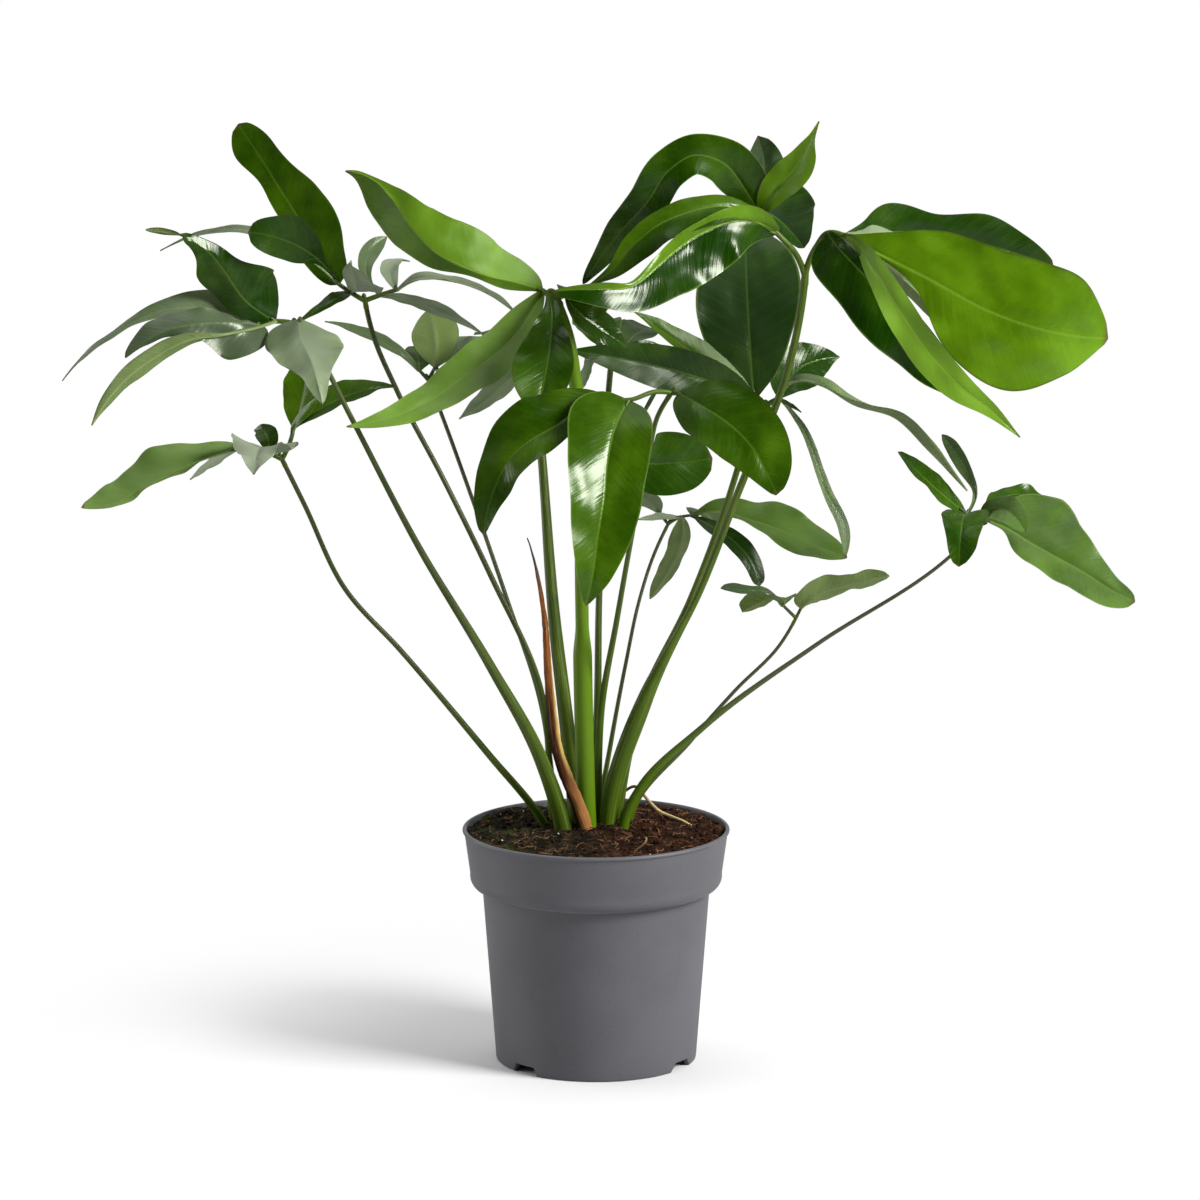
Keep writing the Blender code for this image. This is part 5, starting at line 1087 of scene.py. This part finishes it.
CRUMB = [(0, 0, 1), (0.89, 0, 0.45), (0.28, 0.85, 0.45), (-0.72, 0.53, 0.45), (-0.72, -0.53, 0.45),
         (0.28, -0.85, 0.45), (0.72, 0.53, -0.45), (-0.28, 0.85, -0.45), (-0.89, 0, -0.45),
         (-0.28, -0.85, -0.45), (0.72, -0.53, -0.45), (0, 0, -1)]
CRUMB_FACES = [(0, 1, 2), (0, 2, 3), (0, 3, 4), (0, 4, 5), (0, 5, 1), (1, 6, 2), (2, 7, 3), (3, 8, 4),
               (4, 9, 5), (5, 10, 1), (2, 6, 7), (3, 7, 8), (4, 8, 9), (5, 9, 10), (1, 10, 6),
               (11, 7, 6), (11, 8, 7), (11, 9, 8), (11, 10, 9), (11, 6, 10)]


def crumb(soup, random, centre, size, slot, tone):
    """A small lump: twelve corners pulled about at random."""
    corners = np.array(CRUMB) * random.uniform(0.65, 1.25, (12, 1)) * size
    corners = corners * random.uniform(0.7, 1.3, 3)
    soup.add(corners + np.array(centre), CRUMB_FACES, slot, tint=(tone, 0, 0))


def strand(soup, random, x, y, length, thickness, slot, tone):
    """A bent fibre that lies on the soil; one that would leave it too soon is left out."""
    heading = random.uniform(0, TAU)
    points = []
    for _ in range(5):
        points.append((x, y, soil_level(x, y) + thickness + random.uniform(0, 0.0012)))
        heading += random.uniform(-0.7, 0.7)
        x += math.cos(heading) * length / 4
        y += math.sin(heading) * length / 4
        if math.hypot(x, y) > SOIL_RADIUS - 0.001:
            break
    if len(points) >= 3:
        tube(soup, points, lambda t: thickness * (1.1 - 0.5 * t), count=6, sides=4, slot=slot,
             tint=(tone, 0, 0))


def make_litter():
    """The loose crumbs of peat, fibres and grains of perlite on the soil."""
    random = np.random.RandomState(7)
    soup = Soup()
    for _ in range(CRUMBS):
        centre = scattered(random)
        crumb(soup, random, centre, size=random.uniform(0.0006, 0.0019), slot=0,
              tone=random.uniform(0, 0.7))
    for _ in range(STRANDS):
        x, y, _ = scattered(random)
        length, thickness = random.uniform(0.003, 0.011), random.uniform(0.00012, 0.00028)
        strand(soup, random, x, y, length, thickness, slot=1, tone=random.uniform(0, 1) ** 1.6)
    for _ in range(GRAINS):
        x, y, z = scattered(random)
        crumb(soup, random, (x, y, z + 0.0003), size=random.uniform(0.0005, 0.0009), slot=2,
              tone=random.uniform(0, 1))
    litter = soup.piece("soil_litter", [PEAT, PEAT_FIBRE, PERLITE])
    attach(litter, "root")


def make_sheath():
    """The dried sheath: a narrow strip, hollow behind, crumpled and frayed at its edges."""
    where, along = smooth_path(millimetres(SHEATH_PATH), SHEATH_ROWS)
    u = np.linspace(0, 1, SHEATH_ROWS + 1)[:, None]
    across = np.linspace(-1, 1, SHEATH_COLUMNS + 1)[None, :]
    right, up = facing_frames(along, np.array(SHEATH_FACE))
    width = SHEATH_HALF_WIDTH * MM * np.clip(1.05 - u ** 1.4, 0.07, 1.0)
    crumple = swells(30 * u[:, 0], np.repeat(across * 1.6, SHEATH_ROWS + 1, axis=0), 3.0)
    rise = 0.0007 * crumple - width * 0.75 * across ** 2
    fray = 0.12 * swells(60 * u[:, 0], np.full_like(u, 9.0), 1.0)
    reach = width * across * (1 + fray * np.abs(across) ** 3)
    top = where[:, None] + right * reach[..., None] + up * rise[..., None]
    soup = Soup()
    plate(soup, top, top - up * SHEATH_THICKNESS, 0,
          place=(u * path_length(where) / MM, reach / MM, np.abs(reach) / MM))
    place_piece(soup.piece("sheath", [SHEATH]), "sheath", "dry_sheath")


def make_roots():
    """The bare roots: dark where they leave the soil, and paler further on."""
    for name, (path, thick, pale) in ROOTS.items():
        soup = Soup()
        tube(soup, millimetres(path), lambda t: thick * (0.75 + 0.4 * math.sin(math.pi * t)),
             count=70, sides=10, slot=0)
        t = np.concatenate(soup.place)[:, 0]
        soup.tint = [np.stack([np.clip((t - 0.35) * 3, 0, 1) * pale + 0.05, t, t], 1)]
        place_piece(soup.piece("bare_" + name, [ROOT]), "root", name)


for number, (title, leaf) in enumerate(LEAVES.items()):
    make_leaf(title, leaf, number + 1)
    make_petiole(title, leaf, number + 1)
make_pot()
make_soil()
make_litter()
make_sheath()
make_roots()


# --------------------------------------------------------------------- floor, light, camera
FLOOR_RADIUS, FLOOR_RINGS, FLOOR_SEGMENTS = 3.2, 6, 96
FLOOR_FADE = (0.1, 0.42)  # distances over which the camera sees it turn to plain white
FLOOR_SEEN, FLOOR_LIT, FLOOR_MIRRORED = 0.79, 0.65, 0.25  # its albedo for each use
WORLD_FRONT, WORLD_BACK = 0.045, 0.95
WORLD_SIDE = -0.15  # below zero: brighter to the left
WORLD_IN_SHINE = 0.2  # how much of it a glossy surface mirrors
# Each lamp's name, place, what it is turned to, width in metres and power in watts.
LAMPS = (
    ("key", (1.50, -0.85, 1.32), (0.0, 0.0, 0.35), 0.78, 62.0),
    ("fill", (-1.5, 0.3, 0.45), (0.0, 0.0, 0.2), 1.2, 12.0),
    ("top", (-0.2, 0.4, 2.3), (0.0, 0.0, 0.3), 1.4, 5.0),
)
CAMERA_PLACE, CAMERA_TILT, LENS = (0.0025, -3.4075, 0.949), 10.83, 164.9


def make_floor():
    """A white floor that takes the plant's shadow and fades to plain white further out."""
    points = []
    for i in range(FLOOR_RINGS + 1):
        points += ring(FLOOR_RADIUS * i / FLOOR_RINGS, FLOOR_SEGMENTS)
    soup = Soup()
    soup.add(points, grid_faces(FLOOR_RINGS, FLOOR_SEGMENTS, closed=True))
    m = Surface("floor", Specular_IOR_Level=0.0, Roughness=1.0)
    seen = m.ray("Camera")
    albedo = m.mix(seen, grey(FLOOR_LIT), grey(FLOOR_SEEN))
    m.shade(Base_Color=m.mix(m.ray("Glossy"), albedo, grey(FLOOR_MIRRORED)))
    x, y, _ = m.split(m.position())
    away = m.calc("SQRT", m.plus(m.times(x, x), m.times(y, y)))
    glow = m.put("Emission", {"Color": grey(1.0), "Strength": 1.0})
    share = m.times(m.band(away, *FLOOR_FADE), seen)
    blend = m.put("MixShader", {0: share, 1: m.shader.outputs[0], 2: glow})
    m.feed(m.tree.nodes["Material Output"].inputs["Surface"], blend)
    floor = soup.piece("floor", [m.made])
    weld(floor)


def make_world():
    """White surroundings: bright behind, dim towards the viewer, a little brighter left."""
    world = bpy.data.worlds.new("studio")
    world.use_nodes = True
    bpy.context.scene.world = world
    m = Nodes(world.node_tree)
    m.tree.nodes.clear()
    x, y, _ = m.split(m.put("TexCoord", {}, output="Generated"))
    back = m.put("MapRange", {0: y, 1: -0.6, 2: 0.6, 3: WORLD_FRONT, 4: WORLD_BACK})
    side = m.put("MapRange", {0: x, 1: -0.8, 2: 0.8, 3: -WORLD_SIDE, 4: WORLD_SIDE})
    shine = m.put("Mix", {0: m.ray("Glossy"), 2: 1.0, 3: WORLD_IN_SHINE})
    lit = m.put("Math", {0: m.plus(back, side), 1: shine}, operation="MULTIPLY", use_clamp=True)
    strength = m.put("Mix", {0: m.ray("Camera"), 2: lit, 3: 1.0})
    background = m.put("Background", {0: grey(1.0), 1: strength})
    m.feed(m.tree.nodes.new("ShaderNodeOutputWorld").inputs[0], background)


def add_object(name, data, place):
    made = bpy.data.objects.new(name, data)
    made.location = place
    bpy.context.scene.collection.objects.link(made)
    return made


def make_lamp(name, place, target, size, power):
    data = bpy.data.lights.new(name, "AREA")
    data.shape = "RECTANGLE"
    data.size = data.size_y = size
    data.energy = power
    lamp = add_object(name, data, place)
    lamp.rotation_euler = (Vector(target) - Vector(place)).to_track_quat("-Z", "Y").to_euler()


def make_camera():
    data = bpy.data.cameras.new("camera")
    data.lens = LENS
    data.sensor_width = 36.0
    data.clip_end = 50.0
    camera = add_object("camera", data, CAMERA_PLACE)
    camera.rotation_euler = (math.radians(90 - CAMERA_TILT), 0.0, 0.0)
    bpy.context.scene.camera = camera


make_floor()
make_world()
for lamp in LAMPS:
    make_lamp(*lamp)
make_camera()
bpy.context.scene.view_settings.view_transform = "Standard"
